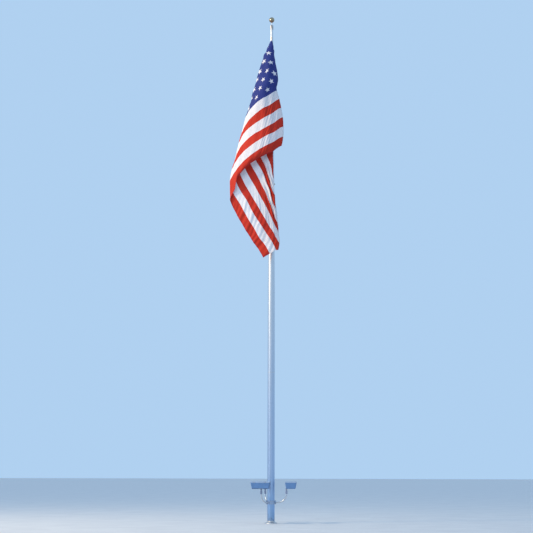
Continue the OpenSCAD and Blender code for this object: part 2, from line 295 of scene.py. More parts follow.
def gold(name, mid=18.578, r0=0.1015):
    """gold anodised spun ball: fine rings round the vertical and small weather spots, with brown over its crown and
    under its foot as painted reflections of the dark sky and the ground"""
    t = Tree(name)
    p = t.pos()
    z = t.split(p)[2]
    rings = t.noise(t.vec(p, (2, 2, 900)), 1.0, 2, 0.6)
    cloud = t.noise(p, 9, 4, 0.6)
    spots = t.voronoi(p, 70)
    col = t.mix(t.remap(cloud, 0.35, 0.70), (0.47, 0.38, 0.245), (0.40, 0.32, 0.205))
    # painted reflection: browner toward the top and the bottom of the ball
    pole = t.math("DIVIDE", t.math("ABSOLUTE", t.math("SUBTRACT", z, mid)), r0)
    pole = t.math("ADD", pole, t.math("MULTIPLY", t.math("SUBTRACT", cloud, 0.5), 0.25))
    col = t.mix(t.remap(pole, 0.30, 0.82, 0, 0.85, True), col, (0.30, 0.145, 0.085))
    col = t.mix(t.math("MULTIPLY", t.remap(spots, 0.0, 0.16, 1, 0), t.remap(cloud, 0.45, 0.6)), col, (0.24, 0.15, 0.08))
    r = t.remap(cloud, 0.3, 0.7, 0.22, 0.38)
    n = t.bump(rings, 0.05, 0.0005)
    return t.done(t.shader(Base_Color=col, Metallic=1.0, Roughness=r, Normal=n, Coat_Weight=0.35))


def braid(name, axis_y, color=(0.84, 0.83, 0.79), pitch=0.016, radius=0.005):
    """double braided rope round a vertical axis at x 0, y axis_y, with a dark tracer and painted shade in the grooves
    between the strands
    """
    t = Tree(name)
    x, y, z = t.split(t.pos())
    ang = t.math("ARCTAN2", t.math("SUBTRACT", y, axis_y), x)
    a = t.math("DIVIDE", ang, 2 * math.pi)
    zz = t.math("DIVIDE", z, pitch)
    one = t.math("SINE", t.math("MULTIPLY", t.math("ADD", zz, t.math("MULTIPLY", a, 4.0)), 2 * math.pi))
    two = t.math("SINE", t.math("MULTIPLY", t.math("SUBTRACT", zz, t.math("MULTIPLY", a, 4.0)), 2 * math.pi))
    h = t.math("MAXIMUM", one, two)
    tracer = t.remap(t.math("SINE", t.math("MULTIPLY", t.math("ADD", t.math("MULTIPLY", zz, 0.25), a), 2 * math.pi)), 0.965, 0.985)
    soil = t.noise(t.vec(t.pos(), (60, 60, 5)), 1.0, 5, 0.6)
    # painted shade: the grooves between the strands are darkened by up to 45 %
    col = t.mix(t.remap(h, -0.2, 0.8, 0.45, 0.0), color, tuple(c * 0.55 for c in color))
    col = t.mix(t.math("MULTIPLY", tracer, 0.8), col, (0.10, 0.16, 0.36))
    col = t.mix(t.remap(soil, 0.45, 0.75, 0, 0.4), col, (0.47, 0.42, 0.35))
    r = t.remap(soil, 0.3, 0.7, 0.62, 0.85)
    n = t.bump(h, 0.55, 0.0012)
    return t.done(t.shader(Base_Color=col, Roughness=r, Normal=n, Sheen_Weight=0.25))


def plastic(name, color, rough=0.42, soil=(0.30, 0.24, 0.18), bump=0.12, soft=0.0):
    t = Tree(name)
    p = t.pos()
    grain = t.noise(p, 420, 2, 0.6)
    wash = t.noise(p, 24, 4, 0.6)
    col = t.mix(t.remap(wash, 0.40, 0.74, 0, 0.55), color, soil)
    col = t.mix(t.remap(grain, 0.3, 0.7, 0.0, 0.22), col, tuple(min(1, c * 1.2) for c in color))
    r = t.remap(wash, 0.3, 0.7, rough - 0.07, rough + 0.18)
    return t.done(t.shader(Base_Color=col, Roughness=r, Normal=t.bump(grain, bump, 0.0006), Coat_Weight=soft))


def glass(name):
    """toughened lens glass, dusty in patches"""
    t = Tree(name)
    p = t.pos()
    dust = t.noise(p, 16, 5, 0.65)
    fine = t.noise(p, 300, 2)
    r = t.remap(dust, 0.35, 0.75, 0.04, 0.22)
    col = t.mix(t.remap(dust, 0.4, 0.8, 0, 0.5), (0.62, 0.70, 0.72), (0.55, 0.55, 0.52))
    return t.done(t.shader(Base_Color=col, Roughness=r, IOR=1.5, Alpha=t.remap(dust, 0.35, 0.75, 0.16, 0.42),
                           Specular_IOR_Level=0.9, Normal=t.bump(fine, 0.03, 0.0004)))


def emitter_board(name):
    t = Tree(name)
    p = t.pos()
    dust = t.noise(p, 20, 4)
    col = t.mix(t.remap(dust, 0.4, 0.75, 0, 0.35), (0.86, 0.88, 0.90), (0.55, 0.54, 0.50))
    r = t.remap(dust, 0.3, 0.7, 0.22, 0.42)
    return t.done(t.shader(Base_Color=col, Metallic=0.6, Roughness=r, Normal=t.bump(t.noise(p, 260), 0.08, 0.0005)))


def weld(name):
    t = Tree(name)
    p = t.pos()
    heat = t.noise(p, 60, 4, 0.6)
    col = t.mix(t.remap(heat, 0.35, 0.7), (0.70, 0.70, 0.72), (0.42, 0.41, 0.42))
    return t.done(t.shader(Base_Color=col, Metallic=0.9, Roughness=t.remap(heat, 0.3, 0.7, 0.32, 0.55), Normal=t.bump(heat, 0.3, 0.001)))


def caulk(name, color=(0.34, 0.35, 0.37)):
    t = Tree(name)
    p = t.pos()
    a = t.noise(p, 45, 4, 0.6)
    col = t.mix(t.remap(a, 0.35, 0.7), color, tuple(c * 0.6 for c in color))
    return t.done(t.shader(Base_Color=col, Roughness=t.remap(a, 0.3, 0.7, 0.55, 0.8), Normal=t.bump(a, 0.35, 0.002)))


def brass(name):
    t = Tree(name)
    p = t.pos()
    a = t.noise(p, 90, 4, 0.65)
    col = t.mix(t.remap(a, 0.4, 0.7), (0.80, 0.58, 0.24), (0.42, 0.30, 0.14))
    return t.done(t.shader(Base_Color=col, Metallic=1.0, Roughness=t.remap(a, 0.3, 0.7, 0.25, 0.5), Normal=t.bump(a, 0.15, 0.0006)))


HO, FL = 4.572, 7.62      # hoist and fly of the cut
ST = HO / 13
RED = (0.57, 0.036, 0.018)
WHITE = (0.85, 0.84, 0.86)
BLUE = (0.034, 0.050, 0.225)


def flag_cloth(name):
    """sewn stripes, a canton with fifty stars, hems, seams and weave, from the cut's own
    coordinates: u along the fly and v down the hoist, in metres"""
    t = Tree(name)
    uv = t.node("ShaderNodeUVMap", uv_map="cut").outputs[0]
    x, y, _ = t.split(uv)
    u = t.math("MULTIPLY", x, FL)
    v = t.math("MULTIPLY", y, FL)
    k = t.math("MINIMUM", t.math("FLOOR", t.math("DIVIDE", v, ST)), 12.0)
    red = t.math("SUBTRACT", 1.0, t.math("MODULO", k, 2.0), clamp=True)
    in_u = t.math("LESS_THAN", u, 0.4 * FL)
    in_v = t.math("LESS_THAN", v, 7 * ST)
    canton = t.math("MULTIPLY", in_u, in_v)
    du, dv = 0.4 * FL / 12, 7 * ST / 10
    R = 0.113
    x1, x2, y2 = R, 0.382 * R * math.cos(math.pi / 5), 0.382 * R * math.sin(math.pi / 5)

    def star(shift):
        a = t.math("FRACT", t.math("ADD", t.math("DIVIDE", u, 2 * du), shift))
        b = t.math("FRACT", t.math("ADD", t.math("DIVIDE", v, 2 * dv), shift))
        sx = t.math("MULTIPLY", t.math("SUBTRACT", a, 0.5), 2 * du)
        sy = t.math("MULTIPLY", t.math("SUBTRACT", b, 0.5), 2 * dv)
        r = t.math("SQRT", t.math("ADD", t.math("MULTIPLY", sx, sx), t.math("MULTIPLY", sy, sy)))
        an = t.math("ARCTAN2", sx, t.math("MULTIPLY", sy, -1.0))
        an = t.math("SUBTRACT", t.math("MODULO", t.math("ADD", an, 2.2 * math.pi), 0.4 * math.pi), 0.2 * math.pi)
        px = t.math("MULTIPLY", r, t.math("COSINE", an))
        py = t.math("ABSOLUTE", t.math("MULTIPLY", r, t.math("SINE", an)))
        side = t.math("SUBTRACT", t.math("MULTIPLY", py, x2 - x1), t.math("MULTIPLY", t.math("SUBTRACT", px, x1), y2))
        return t.remap(side, 0.0, 0.00012), t.remap(t.math("ABSOLUTE", side), 0.0, 0.00035, 1, 0)

    s1, e1 = star(0.0)
    s2, e2 = star(0.5)
    ring = t.math("MULTIPLY", t.math("MULTIPLY", t.math("GREATER_THAN", u, du), t.math("LESS_THAN", u, 11 * du)),
                  t.math("MULTIPLY", t.math("GREATER_THAN", v, dv), t.math("LESS_THAN", v, 9 * dv)))
    stars = t.math("MULTIPLY", t.math("MAXIMUM", s1, t.math("MULTIPLY", s2, ring)), canton)
    star_edge = t.math("MULTIPLY", t.math("MAXIMUM", e1, t.math("MULTIPLY", e2, ring)), canton)
    # seams and hems
    near = t.math("MULTIPLY", t.math("ABSOLUTE", t.math("SUBTRACT", t.math("FRACT", t.math("ADD", t.math("DIVIDE", v, ST), 0.5)), 0.5)), ST)
    off = t.math("SUBTRACT", 1.0, canton)
    seam = t.math("MULTIPLY", t.remap(near, 0.006, 0.011, 1, 0), off)
    side_seam = t.math("MULTIPLY", t.remap(t.math("ABSOLUTE", t.math("SUBTRACT", u, 0.4 * FL)), 0.006, 0.011, 1, 0), in_v)
    seam = t.math("MAXIMUM", seam, side_seam)
    hem_v = t.math("MAXIMUM", t.remap(v, 0.034, 0.040, 1, 0), t.remap(t.math("SUBTRACT", HO, v), 0.034, 0.040, 1, 0))
    hem_u = t.remap(t.math("SUBTRACT", FL, u), 0.045, 0.052, 1, 0)
    hem = t.math("MAXIMUM", hem_v, hem_u)
    # colours
    fade = t.noise(t.vec(uv, (9, 9, 9)), 1.0, 4, 0.6)
    slub = t.noise(t.vec(uv, (500, 40, 1)), 1.0, 2, 0.6)
    soil = t.noise(t.vec(uv, (22, 22, 1)), 1.0, 5, 0.62)
    r_col = t.mix(t.remap(fade, 0.35, 0.7), RED, tuple(min(1, c * 1.12 + 0.004) for c in RED))
    w_col = t.mix(t.math("MULTIPLY", t.remap(soil, 0.45, 0.8), t.remap(u, 3.0, FL, 0.15, 0.5)), WHITE, (0.66, 0.64, 0.62))
    b_col = t.mix(t.remap(fade, 0.35, 0.7), BLUE, tuple(c * 1.18 for c in BLUE))
    col = t.mix(red, w_col, r_col)
    col = t.mix(canton, col, b_col)
    col = t.mix(stars, col, WHITE)
    # seams darken a little as dark joints; hems darken 60 % toward deep crimson, partly the doubled cloth and partly
    # painted shade along the hem
    dark = t.math("MAXIMUM", t.math("MULTIPLY", seam, 0.16), t.math("MULTIPLY", hem, 0.60))
    seam_and_hem_shade = t.mix(red, (0.62, 0.60, 0.62), (0.36, 0.012, 0.030))
    seam_and_hem_shade = t.mix(canton, seam_and_hem_shade, (0.018, 0.026, 0.11))
    col = t.mix(dark, col, seam_and_hem_shade)
    col = t.mix(t.remap(slub, 0.3, 0.7, 0.0, 0.5), col, (0.86, 0.86, 0.86), "MULTIPLY")
    # threads, stitches and puckers
    wu = t.math("SINE", t.math("MULTIPLY", u, 2 * math.pi / 0.0030))
    wv = t.math("SINE", t.math("MULTIPLY", v, 2 * math.pi / 0.0030))
    weave = t.math("MULTIPLY", wu, wv)
    rows = t.math("ABSOLUTE", t.math("SUBTRACT", near, 0.006))
    thread = t.math("MULTIPLY", t.remap(rows, 0.0, 0.0016, 1, 0),
                    t.remap(t.math("SINE", t.math("MULTIPLY", u, 2 * math.pi / 0.006)), -0.3, 0.3))
    thread = t.math("MULTIPLY", thread, off)
    pull = t.math("MULTIPLY", t.noise(t.vec(uv, (230, 60, 1)), 1.0, 2), t.remap(near, 0.0, 0.06, 1, 0, True))
    lift = t.math("ADD", t.math("MULTIPLY", seam, 0.5), t.math("MULTIPLY", hem, 1.0))
    lift = t.math("ADD", lift, t.math("MULTIPLY", star_edge, 0.6))
    n = t.bump(weave, 0.10, 0.0006)
    n = t.bump(lift, 0.30, 0.0018, n)
    n = t.bump(t.math("ADD", thread, t.math("MULTIPLY", pull, 2.2)), 0.28, 0.0022, n)
    r = t.remap(slub, 0.3, 0.7, 0.55, 0.70)
    front = t.shader(Base_Color=col, Roughness=r, Normal=n, Specular_IOR_Level=0.16)
    through = t.node("ShaderNodeBsdfTranslucent")
    t.put(through.inputs["Color"], t.mix(0.35, col, t.mix(red, WHITE, (0.95, 0.16, 0.04)), "MULTIPLY"))
    t.put(through.inputs["Normal"], n)
    m = t.node("ShaderNodeMixShader")
    t.put(m.inputs[0], t.remap(t.math("MAXIMUM", hem, seam), 0, 1, 0.22, 0.10))
    t.put(m.inputs[1], front)
    t.put(m.inputs[2], through.outputs[0])
    return t.done(m.outputs[0])


def canvas(name):
    t = Tree(name)
    x, y, z = t.split(t.pos())
    p = t.pos()
    a = t.math("SINE", t.math("MULTIPLY", z, 2 * math.pi / 0.0016))
    b = t.math("SINE", t.math("MULTIPLY", t.math("ADD", x, y), 2 * math.pi / 0.0016))
    w = t.math("MULTIPLY", a, b)
    soil = t.noise(p, 14, 5, 0.6)
    col = t.mix(t.remap(soil, 0.4, 0.75, 0, 0.6), (0.82, 0.81, 0.77), (0.50, 0.46, 0.40))
    return t.done(t.shader(Base_Color=col, Roughness=t.remap(soil, 0.3, 0.7, 0.75, 0.92), Normal=t.bump(w, 0.3, 0.0006)))


def floor_mat(name):
    t = Tree(name)
    p = t.pos()
    a = t.noise(p, 0.7, 4, 0.6)
    b = t.noise(p, 60, 3, 0.6)
    col = t.mix(t.remap(a, 0.35, 0.7), (0.66, 0.67, 0.68), (0.60, 0.61, 0.63))
    return t.done(t.shader(Base_Color=col, Roughness=t.remap(b, 0.3, 0.7, 0.75, 0.9), Normal=t.bump(b, 0.1, 0.002)))


# the shaft carries painted blue-grey shade over its lower part
M_SHAFT = satin("aluminium_shaft", (0.75, 0.77, 0.80), 0.42, 0.05, painted_low_shade=1.0)
M_SPUN = satin("aluminium_spun", (0.74, 0.76, 0.79), 0.34, 0.07)
M_TUBE = satin("aluminium_tube", (0.70, 0.72, 0.75), 0.34, 0.06, dirt=False)
# painted shade: the cast aluminium and the floodlights' grey enamels are tinted blue for the dusk shade over the base
M_CAST = cast("aluminium_cast", (0.44, 0.54, 0.70))
M_TRUCK = cast("aluminium_truck", (0.62, 0.60, 0.60), 0.44)
M_LIGHT = painted("enamel_grey_in_painted_blue_shade", (0.12, 0.25, 0.48))
# painted highlight: the lens frame is lighter than the housing for the lit band along the lights' tops, and blue as
# painted shade
M_RIM = painted("enamel_rim", (0.34, 0.46, 0.62))
M_KNUCKLE = painted("enamel_knuckle", (0.26, 0.32, 0.46), 0.44)
M_STEEL = steel("steel_plated")
M_GOLD = gold("ball_gold")
M_ROPE = braid("rope_braid", -0.108)
M_SNAP = plastic("vinyl_tan", (0.66, 0.46, 0.27), 0.40)
M_BEAD = plastic("bead_nylon", (0.62, 0.55, 0.42), 0.34)
M_WEIGHT = plastic("weight_vinyl", (0.52, 0.42, 0.29), 0.46)
M_WHEEL = plastic("sheave_nylon", (0.035, 0.036, 0.040), 0.42, (0.12, 0.11, 0.10))
M_GLASS = glass("lens_glass")
M_BOARD = emitter_board("reflector")
M_LAMP = plastic("lamp_glass", (0.80, 0.80, 0.77), 0.22, (0.62, 0.60, 0.54), 0.03, 0.4)
M_CERAMIC = plastic("lamp_holder", (0.72, 0.70, 0.64), 0.38)
M_WELD = weld("weld_bead")
M_CAULK = caulk("sealant")
M_RUBBER = caulk("gasket", (0.035, 0.036, 0.038))
M_BRASS = brass("brass")
M_FLAG = flag_cloth("flag_cloth")
M_CANVAS = canvas("canvas")
M_TWINE = plastic("waxed_twine", (0.70, 0.66, 0.56), 0.6)

FOR = {
    "shaft_lower": M_SHAFT, "shaft_middle": M_SHAFT, "shaft_upper": M_SHAFT,
    "butt_plate": M_TUBE, "flash_collar": M_SPUN, "door_frame": M_CAST,
    "access_door": M_SPUN, "collar_front": M_CAST, "collar_back": M_CAST,
    "clamp_bolts": M_STEEL, "pivot_bolts": M_STEEL, "truck_base": M_TRUCK,
    "truck_body": M_TRUCK, "sheave": M_WHEEL, "sheave_pin": M_STEEL,
    "finial_spindle": M_TUBE, "ball_finial": M_GOLD, "halyard": M_ROPE,
    "snap_top": M_SNAP, "snap_bottom": M_SNAP, "retainer_ring": M_BEAD,
    "counterweight": M_WEIGHT, "flag": M_FLAG,
}
for s in ("right", "front_left", "back_left"):
    FOR["arm_" + s] = M_TUBE
    FOR["slipfitter_" + s] = M_KNUCKLE
    FOR["knuckle_" + s] = M_KNUCKLE
    FOR["housing_" + s] = M_LIGHT
    FOR["lens_frame_" + s] = M_RIM
    FOR["lens_" + s] = M_GLASS
for n, o in NODES.items():
    o.data.materials.clear()
    o.data.materials.append(FOR[n])


# ------------------------------------------------------------- mesh helpers
def link(name, verts, faces, mat, body, smooth=True, slot=None, angle=35):
    me = bpy.data.meshes.new(name)
    me.from_pydata([tuple(float(c) for c in p) for p in verts], [], faces)
    me.update()
    bm = bmesh.new()
    bm.from_mesh(me)
    bmesh.ops.recalc_face_normals(bm, faces=bm.faces)
    bm.to_mesh(me)
    bm.free()
    o = bpy.data.objects.new(name, me)
    scene.collection.objects.link(o)
    me.materials.append(mat)
    if smooth:
        me.polygons.foreach_set("use_smooth", [True] * len(me.polygons))
        me.set_sharp_from_angle(angle=math.radians(angle))
    if body:
        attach(o, body)
    return o


class Build:
    """several closed pieces in one mesh"""

    def __init__(self):
        self.v, self.f = [], []

    def add(self, verts, faces, m=None):
        n = len(self.v)
        if m is not None:
            verts = [m @ Vector(p) for p in verts]
        self.v += [tuple(p) for p in verts]
        self.f += [tuple(n + i for i in f) for f in faces]

    def lathe(self, profile, m=None, seg=48, wave=None):
        """profile: closed loop of (radius, height); points at radius 0 become poles"""
        v, f = [], []
        rows = []
        for r, z in profile:
            if r < 1e-7:
                rows.append([len(v)])
                v.append((0, 0, z))
            else:
                rows.append(list(range(len(v), len(v) + seg)))
                for k in range(seg):
                    a = 2 * math.pi * k / seg
                    w = wave(a) if wave else 1
                    v.append((r * w * math.cos(a), r * w * math.sin(a), z))
        n = len(rows)
        for i in range(n):
            a, b = rows[i], rows[(i + 1) % n]
            if len(a) == 1 and len(b) == 1:
                continue
            for k in range(seg):
                q = (k + 1) % seg
                if len(a) == 1:
                    f.append((a[0], b[k], b[q]))
                elif len(b) == 1:
                    f.append((a[k], b[0], a[q]))
                else:
                    f.append((a[k], b[k], b[q], a[q]))
        self.add(v, f, m)

    def tube(self, pts, r, m=None, seg=10, closed=False):
        """round bar along points; r is a number or one for each point"""
        P = [Vector(p) for p in pts]
        n = len(P)
        rr = r if hasattr(r, "__len__") else [r] * n
        T = []
        for i in range(n):
            if closed:
                d = P[(i + 1) % n] - P[i - 1]
            else:
                d = P[min(i + 1, n - 1)] - P[max(i - 1, 0)]
            T.append(d.normalized())
        up = Vector((0, 0, 1)) if abs(T[0].z) < 0.9 else Vector((1, 0, 0))
        a = T[0].cross(up).normalized()
        v = []
        for i in range(n):
            a = (a - T[i] * a.dot(T[i])).normalized()
            b = T[i].cross(a)
            for k in range(seg):
                w = 2 * math.pi * k / seg
                v.append(P[i] + (a * math.cos(w) + b * math.sin(w)) * rr[i])
        f = []
        for i in range(n if closed else n - 1):
            j = (i + 1) % n
            for k in range(seg):
                q = (k + 1) % seg
                f.append((i * seg + k, i * seg + q, j * seg + q, j * seg + k))
        if not closed:
            v += [P[0] - T[0] * rr[0] * 0.35, P[-1] + T[-1] * rr[-1] * 0.35]
            c0, c1 = len(v) - 2, len(v) - 1
            for k in range(seg):
                q = (k + 1) % seg
                f.append((c0, q, k))
                f.append((c1, (n - 1) * seg + k, (n - 1) * seg + q))
        self.add(v, f, m)

    def slab(self, x0, x1, y0, y1, z0, z1, c=0.001, m=None):
        """box with all edges chamfered by c"""
        v, f = [], []
        for z, i in ((z0, c), (z0 + c, 0), (z1 - c, 0), (z1, c)):
            X0, X1, Y0, Y1 = x0 + i, x1 - i, y0 + i, y1 - i
            v += [(X0 + c, Y0, z), (X1 - c, Y0, z), (X1, Y0 + c, z), (X1, Y1 - c, z),
                  (X1 - c, Y1, z), (X0 + c, Y1, z), (X0, Y1 - c, z), (X0, Y0 + c, z)]
        for i in range(3):
            for k in range(8):
                q = (k + 1) % 8
                f.append((i * 8 + k, i * 8 + q, i * 8 + 8 + q, i * 8 + 8 + k))
        f.append(tuple(range(7, -1, -1)))
        f.append(tuple(range(24, 32)))
        self.add(v, f, m)

    def hexagon(self, af, h, m=None, c=0.001, hole=0.0, hd=0.0):
        """hex head, af across flats, with its rim chamfered and a hollow if asked"""
        r = af / math.sqrt(3)
        ring = lambda s, z: [(s * math.cos(math.pi / 3 * k), s * math.sin(math.pi / 3 * k), z) for k in range(6)]
        rows = [ring(r, 0), ring(r, h - c), ring(r - c * 1.6, h)]
        if hole:
            rows += [ring(hole, h), ring(hole, h - hd)]
        v = [p for row in rows for p in row]
        f = [tuple(range(5, -1, -1))]
        for i in range(len(rows) - 1):
            for k in range(6):
                q = (k + 1) % 6
                f.append((i * 6 + k, i * 6 + q, i * 6 + 6 + q, i * 6 + 6 + k))
        f.append(tuple(range(len(v) - 6, len(v))))
        self.add(v, f, m)

    def make(self, name, mat, body, slot=None, angle=35, smooth=True):
        return link(name, self.v, self.f, mat, body, smooth, slot, angle)


def Rx(a):
    return Matrix.Rotation(math.radians(a), 4, "X")


def Ry(a):
    return Matrix.Rotation(math.radians(a), 4, "Y")


def Rz(a):
    return Matrix.Rotation(math.radians(a), 4, "Z")


def Tr(x, y, z):
    return Matrix.Translation((x, y, z))


POLE_H, BUTT_R, TOP_R, TAPER_Z = 18.228, 0.127, 0.0508, 8.230


def shaft_r(z):
    return BUTT_R if z <= TAPER_Z else BUTT_R - (BUTT_R - TOP_R) * (z - TAPER_Z) / (POLE_H - TAPER_Z)


# ------------------------------------------------------- shaft and base trim
b = Build()
for z in (5.250, 11.700):
    r = shaft_r(z)
    b.lathe([(r - 0.0008, z - 0.011), (r + 0.0009, z - 0.0085), (r + 0.0012, z - 0.0015), (r + 0.0001, z),
             (r + 0.0012, z + 0.0015), (r + 0.0009, z + 0.0085), (r - 0.0008, z + 0.011)], seg=96)
b.make("splice_bands", M_SPUN, "pole", "shaft_middle", 50)
b = Build()
for z in (5.250, 11.700):
    r = shaft_r(z)
    b.lathe([(r - 0.0005, z - 0.0016), (r + 0.00135, z - 0.0010), (r + 0.00135, z + 0.0010), (r - 0.0005, z + 0.0016)], seg=96)
b.make("splice_lines", M_RUBBER, "pole", "shaft_middle", 60)

b = Build()
b.lathe([(0.1264, 0.0885), (0.1322, 0.0898), (0.1330, 0.0915), (0.1312, 0.0938), (0.1284, 0.0962), (0.1266, 0.0975)],
        seg=96, wave=lambda a: 1 + 0.0025 * math.sin(7 * a) + 0.0016 * math.sin(19 * a + 1))
b.make("collar_sealant", M_CAULK, "pole", "flash_collar", 60)
b = Build()
b.lathe([(0.2150, 0.0), (0.2215, 0.0), (0.22185, 0.0035), (0.2217, 0.0078), (0.2196, 0.0096), (0.2165, 0.0088), (0.2150, 0.006)], seg=128)
b.make("flash_rim", M_SPUN, "pole", "flash_collar", 40)

# access door: gasket line and screw heads on the +Y side
b = Build()
rim = []
for k in range(48):
    a = 2 * math.pi * k / 48
    cx = 0.0545 * math.cos(a)
    cz = 0.0545 * math.sin(a) + (0.095 if math.sin(a) >= 0 else -0.095)
    rim.append((cx, math.sqrt(0.1292**2 - cx * cx), 1.9 + cz))
b.tube(rim, 0.0013, closed=True, seg=8)
b.make("door_gasket", M_RUBBER, "pole", "door_frame", 60)
b = Build()
for s in (-1, 1):
    z = 1.9 + s * 0.126
    b.lathe([(0.0, 0.0), (0.0068, 0.0), (0.0068, 0.0016), (0.0056, 0.0034), (0.0030, 0.0043), (0.0028, 0.0018), (0.0, 0.0018)],
            Tr(0, 0.1325, z) @ Rx(-90), 32)
b.make("door_screws", M_STEEL, "pole", "access_door")

# --------------------------------------------------------- light bracket trim
ARM_A = (-8, 232, 112)
LIGHT_A = (0, 262, 112)
SIDE = ("right", "front_left", "back_left")
ARM_Z, ARM_R, BEND_R, PIVOT_Z = 0.720, 0.546, 0.300, 1.165


def at_light(i):
    return Rz(ARM_A[i]) @ Tr(ARM_R, 0, PIVOT_Z) @ Rz(LIGHT_A[i] - ARM_A[i])


b = Build()
for a in ARM_A:
    m = Rz(a) @ Tr(0.1813, 0, ARM_Z) @ Ry(90)
    b.lathe([(0.0240, -0.001), (0.0300, -0.001), (0.0302, 0.0012), (0.0285, 0.0042), (0.0258, 0.0058), (0.0240, 0.0060)],
            m, 72, wave=lambda q: 1 + 0.012 * math.sin(30 * q))
b.make("socket_welds", M_WELD, "pole", "collar_front", 60)

b = Build()
for a in (22, 202):
    for s in (-1, 1):
        for y0 in (0.0185, -0.0186):
            m = Rz(a) @ Tr(0.1623, y0, ARM_Z + s * 0.038) @ Rx(-90 if y0 > 0 else 90)
            b.lathe([(0.0062, 0.0), (0.0128, 0.0), (0.0130, 0.0006), (0.0124, 0.0017), (0.0062, 0.0018)], m, 32)
b.make("clamp_washers", M_STEEL, "pole", "clamp_bolts")

b = Build()
for a in (22, 202):
    for s in (-1, 1):
        m = Rz(a) @ Tr(0.1623, 0.0274, ARM_Z + s * 0.038) @ Rx(-90)
        b.lathe([(0.0, 0.0), (0.0090, 0.0), (0.0086, 0.0009), (0.0062, 0.0011), (0.0058, 0.0052), (0.0048, 0.0062), (0.0, 0.0062)], m, 24)
b.make("clamp_bolt_ends", M_STEEL, "pole", "clamp_bolts")

# set screws of the collar: two on each half, between the sockets
b = Build()
for a in (62, 152, 272, 332):
    for s in (-1, 1):
        m = Rz(a) @ Tr(0.1378, 0, ARM_Z + s * 0.040) @ Ry(90)
        b.lathe([(0.0, 0.0), (0.0088, 0.0), (0.0088, 0.0006), (0.0062, 0.0010), (0.0062, 0.0040), (0.0050, 0.0050),
                 (0.0030, 0.0050), (0.0030, 0.0020), (0.0, 0.0020)], m, 24)
b.make("collar_set_screws", M_STEEL, "pole", "clamp_bolts")

# parting lines round the collar halves' rims
b = Build()
for z in (ARM_Z - 0.065, ARM_Z + 0.065):
    for a0 in (22, 202):
        pts = []
        for k in range(41):
            a = math.radians(a0 + 5 + 170 * k / 40)
            pts.append((0.1372 * math.cos(a), 0.1372 * math.sin(a), z))
        b.tube(pts, 0.0016, seg=8)
b.make("collar_rims", M_CAST, "pole", "collar_front", 60)


# -------------------------------------------------------------- floodlights
LF = 0.275            # lens frame's top, above the knuckle bolt
BODY1 = 0.229
X0, X1, HW = -0.050, 0.350, 0.330


def rr_loop(x0, x1, hw, r, n=6):
    """rounded rectangle in the XY plane"""
    pts = []
    for cx, cy, a0 in ((x1 - r, hw - r, 0), (x0 + r, hw - r, 90), (x0 + r, -hw + r, 180), (x1 - r, -hw + r, 270)):
        for k in range(n + 1):
            a = math.radians(a0 + 90 * k / n)
            pts.append((cx + r * math.cos(a), cy + r * math.sin(a)))
    return pts


